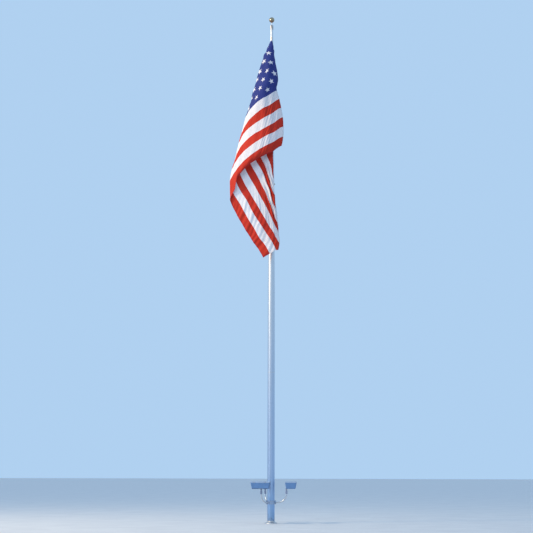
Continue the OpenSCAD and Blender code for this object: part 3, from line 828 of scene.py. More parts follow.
for i, side in enumerate(SIDE):
    m = at_light(i)
    body = "light_" + side
    # gasket between the housing and the lens frame
    b = Build()
    loop = [(x, y, BODY1 + 0.0002) for x, y in rr_loop(X0 + 0.0032, X1 - 0.0032, HW - 0.0032, 0.006)]
    b.tube(loop, 0.0026, m, 8, closed=True)
    loop = [(x, y, LF - 0.0035) for x, y in rr_loop(X0 + 0.0175, X1 - 0.0175, HW - 0.0175, 0.006)]
    b.tube(loop, 0.0024, m, 8, closed=True)
    b.make("gasket_" + side, M_RUBBER, body, "lens_frame_" + side, 60)
    # bead along the frame's upper and outer edges
    b = Build()
    for z, e in ((LF - 0.0022, 0.0018), (BODY1 + 0.0028, 0.0018)):
        loop = [(x, y, z) for x, y in rr_loop(X0 + e, X1 - e, HW - e, 0.004)]
        b.tube(loop, 0.0028, m, 10, closed=True)
    for z in (BODY1 + 0.018,):
        loop = [(x, y, z) for x, y in rr_loop(X0 + 0.0006, X1 - 0.0006, HW - 0.0006, 0.004)]
        b.tube(loop, 0.0016, m, 8, closed=True)
    b.make("frame_beads_" + side, M_RIM, body, "lens_frame_" + side, 60)
    # screws in the frame's face
    b = Build()
    for x in (X0 + 0.009, 0.150, X1 - 0.009):
        for y in (-HW + 0.009, -0.11, 0.11, HW - 0.009):
            if x == 0.150 and abs(y) < 0.2:
                continue
            b.lathe([(0.0, -0.001), (0.0060, -0.001), (0.0060, 0.0010), (0.0050, 0.0028), (0.0026, 0.0036), (0.0024, 0.0016), (0.0, 0.0016)],
                    m @ Tr(x, y, LF), 24)
    b.make("frame_screws_" + side, M_STEEL, body, "pivot_bolts")
    # cooling fins under the housing, either side of the knuckle
    b = Build()
    for s in (-1, 1):
        for k in range(10):
            y = s * (0.085 + 0.0215 * k)
            prof = [(-0.010, 0.0420), (-0.002, 0.0260), (0.020, 0.0215), (0.280, 0.0215), (0.302, 0.0260), (0.310, 0.0420)]
            v, f = [], []
            for w, inset in ((-0.0016, 0.0010), (-0.0008, 0.0), (0.0008, 0.0), (0.0016, 0.0010)):
                for x, z in prof:
                    zz = z + (inset if z < 0.04 else 0)
                    v.append((x, y + w, zz))
            n = len(prof)
            for q in range(3):
                for j in range(n):
                    j2 = (j + 1) % n
                    f.append((q * n + j, q * n + j2, q * n + n + j2, q * n + n + j))
            f.append(tuple(range(n - 1, -1, -1)))
            f.append(tuple(range(3 * n, 4 * n)))
            b.add(v, f, m)
    # ribs up the two long sides of the housing
    for k in range(13):
        y = -0.264 + 0.044 * k
        for x_hi, x_lo, d in ((X1 - 0.0045, X1 - 0.0385, 1), (X0 + 0.0045, X0 + 0.0385, -1)):
            v, f = [], []
            for w in (-0.0018, -0.0009, 0.0009, 0.0018):
                o = 0.0026 if abs(w) < 0.001 else 0.0018
                v += [(x_hi - d * 0.003, y + w, 0.222), (x_hi + d * o * 0.75, y + w, 0.218),
                      (x_lo + d * (o + 0.004), y + w, 0.060), (x_lo - d * 0.003, y + w, 0.050)]
            for q in range(3):
                for j in range(4):
                    j2 = (j + 1) % 4
                    f.append((q * 4 + j, q * 4 + j2, q * 4 + 4 + j2, q * 4 + 4 + j))
            f.append((3, 2, 1, 0))
            f.append((12, 13, 14, 15))
            b.add(v, f, m)
    b.make("fins_" + side, M_LIGHT, body, "housing_" + side, 30)
    # reflector tray, with a tubular lamp in its holder, seen through the glass
    b = Build()
    rows = []
    for inset, z, r in ((0.0262, 0.2620, 0.010), (0.0262, 0.2340, 0.010), (0.0840, 0.1662, 0.020),
                        (0.0850, 0.1680, 0.019), (0.0278, 0.2350, 0.009), (0.0278, 0.2620, 0.009)):
        rows.append([(x, y, z) for x, y in rr_loop(X0 + inset, X1 - inset, HW - inset, r)])
    n = len(rows[0])
    f = []
    for q in range(6):
        for k in range(n):
            if q == 2:      # between the two floors
                continue
            k2, q2 = (k + 1) % n, (q + 1) % 6
            f.append((q * n + k, q * n + k2, q2 * n + k2, q2 * n + k))
    f.append(tuple(2 * n + k for k in range(n - 1, -1, -1)))
    f.append(tuple(3 * n + k for k in range(n)))
    b.add([p for row in rows for p in row], f, m)
    b.make("reflector_" + side, M_BOARD, body, "lens_frame_" + side, 40)
    lamp = m @ Tr(0.150, 0, 0.213) @ Rx(90)
    b = Build()
    b.lathe([(0.0, -0.150), (0.0110, -0.148), (0.0200, -0.138), (0.0230, -0.120), (0.0232, 0.062), (0.0205, 0.080),
             (0.0165, 0.092), (0.0160, 0.116), (0.0, 0.116)], lamp, 40)
    b.make("lamp_" + side, M_LAMP, body, "lens_" + side)
    b = Build()
    b.lathe([(0.0, 0.110), (0.0180, 0.110), (0.0240, 0.112), (0.0255, 0.115), (0.0255, 0.122), (0.0235, 0.124), (0.0235, 0.129),
             (0.0255, 0.131), (0.0255, 0.150), (0.0225, 0.158), (0.0120, 0.160), (0.0, 0.160)], lamp, 40)
    for s in (-1, 1):
        b.slab(0.150 + s * 0.017 - 0.0012, 0.150 + s * 0.017 + 0.0012, -0.150, -0.124, 0.1676, 0.200, 0.0004, m)
    b.slab(0.130, 0.170, -0.154, -0.120, 0.1672, 0.1704, 0.0008, m)
    b.make("lamp_holder_" + side, M_CERAMIC, body, "lens_frame_" + side)
    # two toggle latches on the outer face and two hinges on the inner one
    b = Build()
    for y in (-0.19, 0.19):
        b.slab(X1 - 0.001, X1 + 0.0045, y - 0.017, y + 0.017, 0.236, 0.268, 0.0012, m)
        b.tube([(X1 + 0.004, y - 0.012, 0.262), (X1 + 0.0065, y - 0.012, 0.246), (X1 + 0.0065, y + 0.012, 0.246), (X1 + 0.004, y + 0.012, 0.262)],
               0.0016, m, 8)
        b.tube([(X0 - 0.0028, y - 0.03, BODY1 + 0.002), (X0 - 0.0028, y, BODY1 + 0.002), (X0 - 0.0028, y + 0.03, BODY1 + 0.002)], 0.0034, m, 14)
    b.make("latches_" + side, M_STEEL, body, "pivot_bolts")
    # bolt heads and their washers on the knuckle's mounting plate
    b = Build()
    for x in (-0.026, 0.078):
        for y in (-0.047, 0.047):
            b.hexagon(0.013, 0.0062, m @ Tr(x, y, 0.0306) @ Rx(180), 0.0009)
            b.lathe([(0.0050, -0.0005), (0.0092, -0.0005), (0.0094, 0.0008), (0.0088, 0.0014), (0.0050, 0.0014)], m @ Tr(x, y, 0.0306) @ Rx(180), 24)
    b.make("knuckle_screws_" + side, M_STEEL, body, "pivot_bolts")
    b = Build()
    for s in (-1, 1):
        b.lathe([(0.0063, 0.0), (0.0135, 0.0), (0.0138, 0.0007), (0.0130, 0.0018), (0.0063, 0.0018)],
                m @ Tr(0, s * 0.0230, 0) @ Rx(-90 * s), 32)
        # aiming scale: short raised marks round the ear
        for k in range(-4, 5):
            a = math.radians(90 + 15 * k)
            mm = m @ Tr(0, s * 0.0228, 0) @ Rx(-90 * s) @ Matrix.Rotation(a * s + math.pi, 4, "Z") @ Tr(0.0215, 0, 0)
            b.slab(-0.0026, 0.0026, -0.0006, 0.0006, 0.0, 0.0009, 0.0002, mm)
    b.make("knuckle_washers_" + side, M_STEEL, body, "pivot_bolts")

# --------------------------------------------------------------- truck, finial
b = Build()
for k in range(3):
    m = Rz(30 + 120 * k) @ Tr(0.0585, 0, POLE_H - 0.022) @ Ry(90)
    b.lathe([(0.0, 0.0), (0.0065, 0.0), (0.0065, 0.0040), (0.0054, 0.0050), (0.0032, 0.0050), (0.0030, 0.0022), (0.0, 0.0022)], m, 24)
b.make("sleeve_screws", M_STEEL, "pole", "pivot_bolts")
b = Build()
b.lathe([(0.0576, POLE_H - 0.0462), (0.0598, POLE_H - 0.0458), (0.0604, POLE_H - 0.0440), (0.0598, POLE_H - 0.0422), (0.0576, POLE_H - 0.0418)], seg=72)
b.make("sleeve_bead", M_TRUCK, "pole", "truck_base", 60)

HOOD = POLE_H + 0.118
b = Build()
b.lathe([(0.0590, HOOD - 0.0045), (0.0616, HOOD - 0.0040), (0.0622, HOOD - 0.0020), (0.0610, HOOD - 0.0004), (0.0575, HOOD + 0.0014),
         (0.0520, HOOD + 0.0030), (0.0300, HOOD + 0.0058), (0.0235, HOOD + 0.0062), (0.0235, HOOD - 0.001), (0.0570, HOOD - 0.001)], seg=72)
b.lathe([(0.0595, POLE_H + 0.0084), (0.0620, POLE_H + 0.0080), (0.0628, POLE_H + 0.0110), (0.0620, POLE_H + 0.0140), (0.0595, POLE_H + 0.0136)], seg=72)
b.make("hood_cap", M_TRUCK, "truck", "truck_body", 50)
b = Build()
for k in range(4):
    m = Rz(45 + 90 * k) @ Tr(0.0440, 0, HOOD + 0.0034)
    b.hexagon(0.0080, 0.0052, m, 0.0007)
b.make("hood_bolts", M_STEEL, "truck", "pivot_bolts")
b = Build()
for s in (-1, 1):
    m = Tr(s * 0.0258, -0.070, POLE_H + 0.062) @ Ry(90 * s)
    b.lathe([(0.0066, 0.0), (0.0110, 0.0), (0.0112, 0.0006), (0.0106, 0.0018), (0.0066, 0.0018)], m, 28)
b.tube([(0.0288, -0.0700, POLE_H + 0.0705), (0.0288, -0.0700, POLE_H + 0.0660), (0.0288, -0.0700, POLE_H + 0.0540),
        (0.0300, -0.0715, POLE_H + 0.0505), (0.0312, -0.0740, POLE_H + 0.0490)], 0.0011, seg=8)
b.make("sheave_washers", M_STEEL, "truck", "sheave_pin")

BZ, BR = 18.578, 0.1015
b = Build()
b.lathe([(BR - 0.0006, BZ - 0.0012), (BR + 0.0007, BZ - 0.0006), (BR + 0.0007, BZ + 0.0006), (BR - 0.0006, BZ + 0.0012)], seg=128)
b.make("ball_seam", M_GOLD, "truck", "ball_finial", 60)
b = Build()
cup = [(0.0112, BZ - BR - 0.0150), (0.0180, BZ - BR - 0.0150), (0.0210, BZ - BR - 0.0120), (0.0225, BZ - BR - 0.0040), (0.0330, BZ - BR + 0.0030)]
for k in range(5):
    a = math.radians(15.4 - 2.5 * k)
    cup.append(((BR + 0.0008) * math.sin(a), BZ - (BR + 0.0008) * math.cos(a)))
cup.append((0.0112, BZ - BR + 0.0006))
b.lathe(cup, seg=64)
b.make("ball_cup", M_GOLD, "truck", "finial_spindle", 40)

# ------------------------------------------------------------ halyard fittings
ROPE_Y = -0.108


def whip(build, z0, z1, turns, r=0.0057, w=0.0009):
    n = turns * 16
    pts = [(r * math.cos(2 * math.pi * k / 16), ROPE_Y + r * math.sin(2 * math.pi * k / 16), z0 + (z1 - z0) * k / n) for k in range(n + 1)]
    build.tube(pts, w, seg=6)


b = Build()
for z0 in (17.812, 17.846, 13.037, 13.071, 12.204):
    whip(b, z0, z0 + 0.014, 8)
b.make("rope_whippings", M_TWINE, "truck", "halyard", 60)

# bead ring cord
b = Build()
pts = []
for k in range(65):
    a = math.radians(-82 + 344 * k / 64)
    pts.append((0.122 * math.cos(a), 0.122 * math.sin(a), 12.170))
b.tube(pts, 0.0049, seg=10)
b.make("bead_cord", M_ROPE, "truck", "halyard", 60)

# counterweight: eye, parting ribs and foot ring
b = Build()
for z in (11.858, 12.116):
    b.lathe([(0.0190, z - 0.004), (0.0206, z - 0.003), (0.0210, z), (0.0206, z + 0.003), (0.0190, z + 0.004)], Tr(0, -0.126, 0), 40)
b.make("weight_ribs", M_WEIGHT, "truck", "counterweight", 60)
b = Build()
b.tube([(0.0085 * math.cos(a), -0.126 + 0.0085 * math.sin(a) * 0.4, 12.1460 + 0.0105 * math.sin(a)) for a in np.linspace(0, 2 * math.pi, 24, endpoint=False)],
       0.0026, seg=10, closed=True)
b.make("weight_eye", M_STEEL, "truck", "counterweight", 60)

b = Build()
for z1, ln, up in ((17.850, 0.104, 1), (13.045, 0.110, -1)):
    cap = [(0.0084, -0.002), (0.0086, 0.0015), (0.0070, 0.0035), (0.0, 0.0035), (0.0, -0.004)]
    band = [(0.0142, -ln * 0.44), (0.0157, -ln * 0.43), (0.0157, -ln * 0.40), (0.0142, -ln * 0.39)]
    b.lathe([(r, z1 + up * z) for r, z in cap][::up], Tr(0, -0.1282, 0), 28)
    b.lathe([(r, z1 + up * z) for r, z in band][::up], Tr(0, -0.1282, 0), 32)
b.make("snap_swivels", M_SNAP, "truck", "snap_top", 50)

# -------------------------------------------------------------------- flag
HO, FL = 4.572, 7.62
ST = HO / 13
AX, AY, AZ = 0.0, -0.130, 17.592

# ------------------------------------------------ guide points: u, v, x, z
def interp(x, xs, ys):
    return np.interp(x, xs, ys)

def pchip(x, xs, ys):
    """monotone cubic"""
    xs = np.asarray(xs, float); ys = np.asarray(ys, float)
    h = np.diff(xs); d = np.diff(ys) / h
    m = np.zeros_like(ys)
    for i in range(1, len(xs) - 1):
        if d[i - 1] * d[i] > 0:
            w1 = 2 * h[i] + h[i - 1]; w2 = h[i] + 2 * h[i - 1]
            m[i] = (w1 + w2) / (w1 / d[i - 1] + w2 / d[i])
    m[0] = d[0]; m[-1] = d[-1]
    x = np.asarray(x, float)
    k = np.clip(np.searchsorted(xs, x) - 1, 0, len(xs) - 2)
    t = (x - xs[k]) / h[k]
    out = np.empty_like(x)
    tc = np.clip(t, 0, 1)
    h00 = 2 * tc**3 - 3 * tc**2 + 1; h10 = tc**3 - 2 * tc**2 + tc
    h01 = -2 * tc**3 + 3 * tc**2; h11 = tc**3 - tc**2
    out = h00 * ys[k] + h10 * h[k] * m[k] + h01 * ys[k + 1] + h11 * h[k] * m[k + 1]
    out = out + np.where(t < 0, t * h[k] * m[k], 0) + np.where(t > 1, (t - 1) * h[k] * m[k + 1], 0)
    return out

class RBF:
    """smoothing thin plate spline"""
    def __init__(self, P, V, lam):
        P = np.asarray(P, float); V = np.asarray(V, float)
        self.P = P
        n = len(P)
        K = self._k(P, P) + lam * np.eye(n)
        Q = np.hstack([np.ones((n, 1)), P])
        M = np.zeros((n + 3, n + 3))
        M[:n, :n] = K; M[:n, n:] = Q; M[n:, :n] = Q.T
        R = np.zeros((n + 3, V.shape[1])); R[:n] = V
        self.c = np.linalg.solve(M, R)
    @staticmethod
    def _k(A, B):
        d2 = ((A[:, None, :] - B[None, :, :])**2).sum(-1)
        return 0.5 * d2 * np.log(d2 + 1e-12)
    def __call__(self, X):
        out = []
        for s in range(0, len(X), 4000):
            x = X[s:s + 4000]
            out.append(self._k(x, self.P) @ self.c[:-3] + np.hstack([np.ones((len(x), 1)), x]) @ self.c[-3:])
        return np.vstack(out)

# Seams of the hanging flag: distance down the hoist, then fly, x, z
L1 = [
  (0.12, [(0.19, 0.050, 17.49), (0.34, -0.085, 17.48)]),
  (0.25, [(0.40, 0.080, 17.38), (0.62, -0.13, 17.36)]),
  (0.50, [(0.60, 0.095, 17.19), (0.97, -0.225, 17.16)]),
  (0.739, [(0.60, 0.115, 17.04), (0.76, -0.135, 17.09), (0.99, -0.33, 17.02)]),
  (0.985, [(0.60, 0.15, 16.83), (1.02, -0.28, 16.74), (1.18, -0.44, 16.67)]),
  (1.231, [(0.60, 0.185, 16.68), (0.76, -0.06, 16.755), (1.27, -0.45, 16.34), (1.37, -0.54, 16.27)]),
  (1.478, [(0.60, 0.235, 16.42), (1.02, -0.175, 16.37), (1.52, -0.53, 16.06), (1.60, -0.60, 15.98)]),
  (1.724, [(0.61, 0.27, 16.25), (0.76, 0.075, 16.375), (1.27, -0.33, 16.03), (1.78, -0.65, 15.615), (1.85, -0.71, 15.54)]),
  (1.970, [(0.72, 0.27, 15.90), (1.02, -0.005, 15.985), (1.52, -0.42, 15.72), (2.12, -0.76, 15.25)]),
  (2.216, [(0.88, 0.215, 15.77), (1.27, -0.16, 15.645), (1.78, -0.57, 15.33), (2.29, -0.86, 14.88), (2.40, -0.89, 14.78)]),
  (2.462, [(0.92, 0.24, 15.63), (1.25, -0.07, 15.475), (1.51, -0.29, 15.34), (1.81, -0.52, 15.17), (2.06, -0.69, 15.00), (2.33, -0.85, 14.79), (2.52, -0.94, 14.62), (2.65, -0.98, 14.51)]),
  (2.814, [(0.92, 0.32, 15.30), (1.28, 0.00, 15.10), (1.65, -0.31, 14.94), (1.93, -0.52, 14.77), (2.20, -0.70, 14.61), (2.45, -0.86, 14.43), (2.68, -0.97, 14.25), (2.88, -1.06, 14.06), (3.08, -1.11, 13.94)]),
  (3.165, [(0.94, 0.385, 14.96), (1.34, 0.05, 14.76), (1.67, -0.21, 14.61), (2.02, -0.48, 14.43), (2.31, -0.69, 14.28), (2.54, -0.85, 14.14), (2.78, -1.00, 13.98), (3.05, -1.12, 13.76), (3.30, -1.21, 13.56)]),
  (3.517, [(1.00, 0.44, 14.60), (1.32, 0.17, 14.44), (1.71, -0.13, 14.25), (2.06, -0.39, 14.09), (2.37, -0.63, 13.95), (2.77, -0.90, 13.72), (3.12, -1.11, 13.48), (3.44, -1.26, 13.20), (3.75, -1.36, 12.90)]),
  (3.869, [(1.07, 0.46, 14.24), (1.44, 0.17, 14.07), (1.88, -0.18, 13.89), (2.32, -0.51, 13.68), (2.70, -0.78, 13.48), (3.06, -1.01, 13.28), (3.38, -1.20, 13.05), (3.63, -1.33, 12.84), (3.95, -1.45, 12.58)]),
  (4.220, [(1.20, 0.45, 13.85), (1.61, 0.12, 13.68), (2.10, -0.25, 13.48), (2.53, -0.57, 13.28), (2.91, -0.83, 13.08), (3.29, -1.09, 12.83), (3.63, -1.30, 12.55), (3.92, -1.42, 12.36), (4.12, -1.52, 12.16)]),
  (4.572, [(1.40, 0.37, 13.48), (1.70, 0.12, 13.33), (1.86, 0.00, 13.25), (2.25, -0.30, 13.12), (2.60, -0.57, 12.96), (2.95, -0.83, 12.77), (3.42, -1.12, 12.46), (3.65, -1.24, 12.30), (3.85, -1.29, 12.13), (4.08, -1.31, 11.95), (4.27, -1.34, 11.83), (4.44, -1.39, 11.73), (4.62, -1.46, 11.60), (4.72, -1.52, 11.48)]),
]
L2 = [
  (1.758, [(4.30, -0.19, 13.16), (4.58, -0.09, 12.92), (4.83, -0.01, 12.68), (5.10, 0.03, 12.41), (5.33, 0.10, 12.19)]),
  (2.110, [(4.32, -0.39, 13.05), (4.63, -0.25, 12.77), (4.98, -0.14, 12.42), (5.14, -0.09, 12.26), (5.57, 0.00, 11.88), (5.90, 0.13, 11.60)]),
  (2.462, [(4.30, -0.58, 12.95), (4.68, -0.39, 12.63), (5.13, -0.21, 12.23), (5.60, -0.08, 11.83), (5.92, 0.01, 11.51), (6.20, 0.09, 11.27), (6.42, 0.20, 11.07)]),
  (2.814, [(4.30, -0.77, 12.82), (4.72, -0.59, 12.48), (5.24, -0.35, 12.00), (5.62, -0.19, 11.67), (5.90, -0.10, 11.42), (6.27, 0.04, 11.09), (6.62, 0.14, 10.77), (6.92, 0.29, 10.50)]),
  (3.165, [(4.32, -0.98, 12.66), (5.02, -0.62, 12.00), (5.47, -0.42, 11.62), (5.83, -0.25, 11.31), (6.25, -0.07, 10.95), (6.70, 0.11, 10.55), (7.12, 0.30, 10.17)]),
  (3.517, [(4.35, -1.17, 12.48), (4.78, -0.95, 12.00), (5.42, -0.60, 11.40), (5.86, -0.38, 11.02), (6.38, -0.14, 10.59), (6.82, 0.08, 10.23), (7.15, 0.23, 9.96), (7.32, 0.30, 9.83)]),
  (3.869, [(4.60, -1.29, 12.14), (4.98, -1.11, 11.77), (5.40, -0.90, 11.44), (5.92, -0.67, 10.98), (6.40, -0.42, 10.59), (6.85, -0.19, 10.23), (7.20, 0.00, 9.94), (7.44, 0.11, 9.73), (7.62, 0.17, 9.60)]),
  (4.220, [(4.80, -1.39, 11.71), (5.12, -1.23, 11.45), (5.46, -1.07, 11.18), (5.90, -0.88, 10.82), (6.40, -0.64, 10.43), (6.89, -0.42, 10.03), (7.31, -0.19, 9.73), (7.62, -0.06, 9.47)]),
  (4.572, [(4.70, -1.51, 11.47), (4.95, -1.44, 11.27), (5.53, -1.22, 10.84), (6.23, -0.92, 10.32), (6.77, -0.68, 9.94), (7.20, -0.47, 9.64), (7.62, -0.29, 9.33)]),
]
# first right fold, left fold and second right fold: hoist, fly
VA = [0, .12, .25, .50, .739, .985, 1.231, 1.478, 1.724, 1.97, 2.216, 2.462, 2.814, 3.165, 3.517, 3.869, 4.22, 4.572]
UA = [0, .19, .40, .60, .60, .60, .60, .60, .61, .72, .88, .92, .92, .94, 1.0, 1.07, 1.2, 1.4]
VB = [0, .12, .25, .50, .739, 1.231, 1.724, 2.216, 2.462, 2.814, 3.165, 3.517, 3.869, 4.22, 4.572]
UB = [0, .34, .62, .97, .99, 1.37, 1.85, 2.4, 2.65, 3.08, 3.3, 3.75, 3.95, 4.12, 4.70]
VC = [0, 1.0, 1.4, 1.758, 2.11, 2.462, 2.814, 3.165, 3.517, 3.72, 4.572]
UC = [0, 3.05, 4.28, 5.33, 5.9, 6.42, 6.92, 7.12, 7.32, 7.62, 8.6]

def smoothstep(t):
    t = np.clip(t, 0, 1)
    return t * t * (3 - 2 * t)

def forward(z):
    """how far the cloth swings out from the pole, by height"""
    return -pchip(z, [9.0, 9.6, 10.4, 11.4, 12.4, 13.6, 15.0, 18.0], [.05, .07, .14, .20, .17, .05, 0, 0])

def initial(nu, nv):
    u = np.linspace(0, FL, nu); v = np.linspace(0, HO, nv)
    U, V = np.meshgrid(u, v, indexing="ij")          # (nu, nv)
    uf, vf = U.ravel(), V.ravel()
    r = np.hypot(uf, vf); th = np.arctan2(uf, vf)     # 0 at hoist, 90 deg at top hem
    uA = pchip(vf, VA, UA); uB = pchip(vf, VB, UB); uC = pchip(vf, VC, UC)
    # front layer
    P1 = [(0.0, 0.0, 0.0, AZ), (.05, .03, .020, 17.567), (.09, .03, -.035, 17.562)]
    for vv, row in L1:
        for a, x, z in row: P1.append((a, vv, x, z))
    for vv, row in L1:      # rounding draws the folds in a little
        if vv > .6: P1.append((row[0][0] - .03, vv, row[0][1] + .045, row[0][2] - .01))
    P1 = np.array(P1)
    t1 = RBF(P1[:, :2], P1[:, 2:], 2e-3)
    # back layer; its left edge is the front layer's
    P2 = [(0.0, 0.0, 0.0, AZ)]
    for vv, row in L1: P2.append((row[-1][0], vv, row[-1][1], row[-1][2]))
    for vv, row in L2:
        for a, x, z in row: P2.append((a, vv, x, z))
    P2 += [(1.5, .492, 0.05, 16.25), (3.05, 1.0, 0.09, 14.62), (4.28, 1.4, 0.09, 13.36),
           (3.0, 2.0, -0.48, 14.2), (2.3, 1.2, -0.20, 15.2), (3.7, 1.75, -0.12, 13.7), (3.9, 3.2, -1.12, 13.0),
           (1.3, .75, -.12, 16.3)]
    P2 = np.array(P2)
    t2 = RBF(P2[:, :2], P2[:, 2:], 2e-3)
    q = np.stack([uf, vf], 1)
    X1 = t1(q); X2 = t2(q)
    X = np.zeros(len(uf)); Z = np.zeros(len(uf)); Y = np.zeros(len(uf))
    lay = np.where(uf < uA, 0, np.where(uf < uB, 1, np.where(uf < uC, 2, 3)))
    # fold lines as functions of r
    vv = np.linspace(0, HO, 200)
    ua = pchip(vv, VA, UA); ra = np.hypot(ua, vv); tha = np.arctan2(ua, np.maximum(vv, 1e-6)); tha[0] = tha[1]
    pa = t1(np.stack([ua, vv], 1)); da = np.hypot(pa[:, 0] - AX, AZ - pa[:, 1]); fa = np.arctan2(pa[:, 0] - AX, AZ - pa[:, 1])
    fa[:5] = fa[5]; rhoa = np.where(ra > .05, da / np.maximum(ra, .05), .75); rhoa[:5] = rhoa[5]
    vc = np.linspace(0, 3.75, 200)
    uc = pchip(vc, VC, UC); rc = np.hypot(uc, vc); thc = np.arctan2(uc, np.maximum(vc, 1e-6)); thc[0] = thc[1]
    pc = t2(np.stack([uc, vc], 1)); dc = np.hypot(pc[:, 0] - AX, AZ - pc[:, 1]); fc = np.arctan2(pc[:, 0] - AX, AZ - pc[:, 1])
    fc[:8] = fc[8]; rhoc = np.where(rc > .05, dc / np.maximum(rc, .05), .9); rhoc[:8] = rhoc[8]
    sq = smoothstep(r / 2.6) + .09 * smoothstep(r / .30) * (1 - smoothstep(r / 2.6))   # folds open below the corner
    # --- front
    m = lay == 1
    s1 = np.clip((uf - uA) / np.maximum(uB - uA, 1e-3), 0, 1)
    X[m], Z[m] = X1[m, 0], X1[m, 1]
    prof1 = pchip(s1, [0, .08, .2, .32, .5, .75, .93, 1], [.35, .45, .56, .60, .56, .43, .30, .24])
    lowv = smoothstep((vf - 3.2) / .9)
    Y1 = AY - sq * (prof1 + .08 * lowv * smoothstep(s1 / .6))
    Y1 += .085 * np.clip((vf - HO + .26) / .26, 0, 1)**2 * (1 - smoothstep((uf - 3.3) / .9))   # hem rolls under
    Y[m] = Y1[m]
    # --- back layer
    m = lay == 2
    s2 = np.clip((uf - uB) / np.maximum(np.minimum(uC, FL + .3) - uB, 1e-3), 0, 1)
    X[m], Z[m] = X2[m, 0], X2[m, 1]
    prof2 = pchip(s2, [0, .08, .3, .6, .9, 1], [.24, .195, .21, .24, .235, .20])
    low = smoothstep((vf - 2.6) / 1.3) * (1 - .8 * smoothstep((vf - 3.95) / .75)) * smoothstep(s2 / .15)
    Y[m] = (AY - sq * (prof2 + .10 * low + .08 * lowv * (1 - smoothstep(s2 / .12))))[m]
    # --- rear bundle
    m = lay == 3
    ff = np.interp(r, rc, fc); rr = np.interp(r, rc, rhoc); tc = np.interp(r, rc, thc)
    dt = np.degrees(th - tc)
    zig = np.interp(dt, [0, 5.5, 11, 16.5, 21, 26], [0, -5.6, -.4, -4.8, -1.5, -4.5])
    yy = np.interp(dt, [0, 1, 5.5, 11, 16.5, 21, 26], [.20, .17, .14, .11, .085, .06, .045])
    fi = ff + np.radians(zig)
    X[m] = (AX + r * rr * np.sin(fi))[m]; Z[m] = (AZ - r * rr * np.cos(fi))[m]
    Y[m] = (AY - sq * yy)[m]
    # --- hoist panel
    m = lay == 0
    f_a = np.interp(r, ra, fa); rho_a = np.interp(r, ra, rhoa); t_a = np.interp(r, ra, tha)
    tz = np.maximum((t_a - f_a) * .36, .02)
    s0 = th / np.maximum(t_a, 1e-3)
    fz = np.where(th < tz, -th, np.interp(np.clip((th - tz) / np.maximum(t_a - tz, 1e-3), 0, 1), [0, 1], [0, 1]) * (f_a + tz) - tz)
    rho = .992 + (rho_a - .992) * smoothstep(s0)
    X[m] = (AX + r * rho * np.sin(fz))[m]; Z[m] = (AZ - r * rho * np.cos(fz))[m]
    y0 = np.interp(s0, [0, .3, .6, .85, 1], [0, .02, .045, .12, .35])
    Y[m] = (AY - sq * y0)[m]
    Y += forward(Z) * smoothstep(uf / .8)
    k = (40 + Y) / 39.50                             # keeps each guide on its line of sight
    X *= k
    Z = 1.6 + (Z - 1.6) * k
    return dict(u=u, v=v, U=U, V=V, lay=lay.reshape(nu, nv), s1=s1, s2=s2, P=np.stack([X, Y, Z], 1).reshape(nu, nv, 3),
                th=th.reshape(nu, nv), r=r.reshape(nu, nv), uA=uA.reshape(nu, nv))

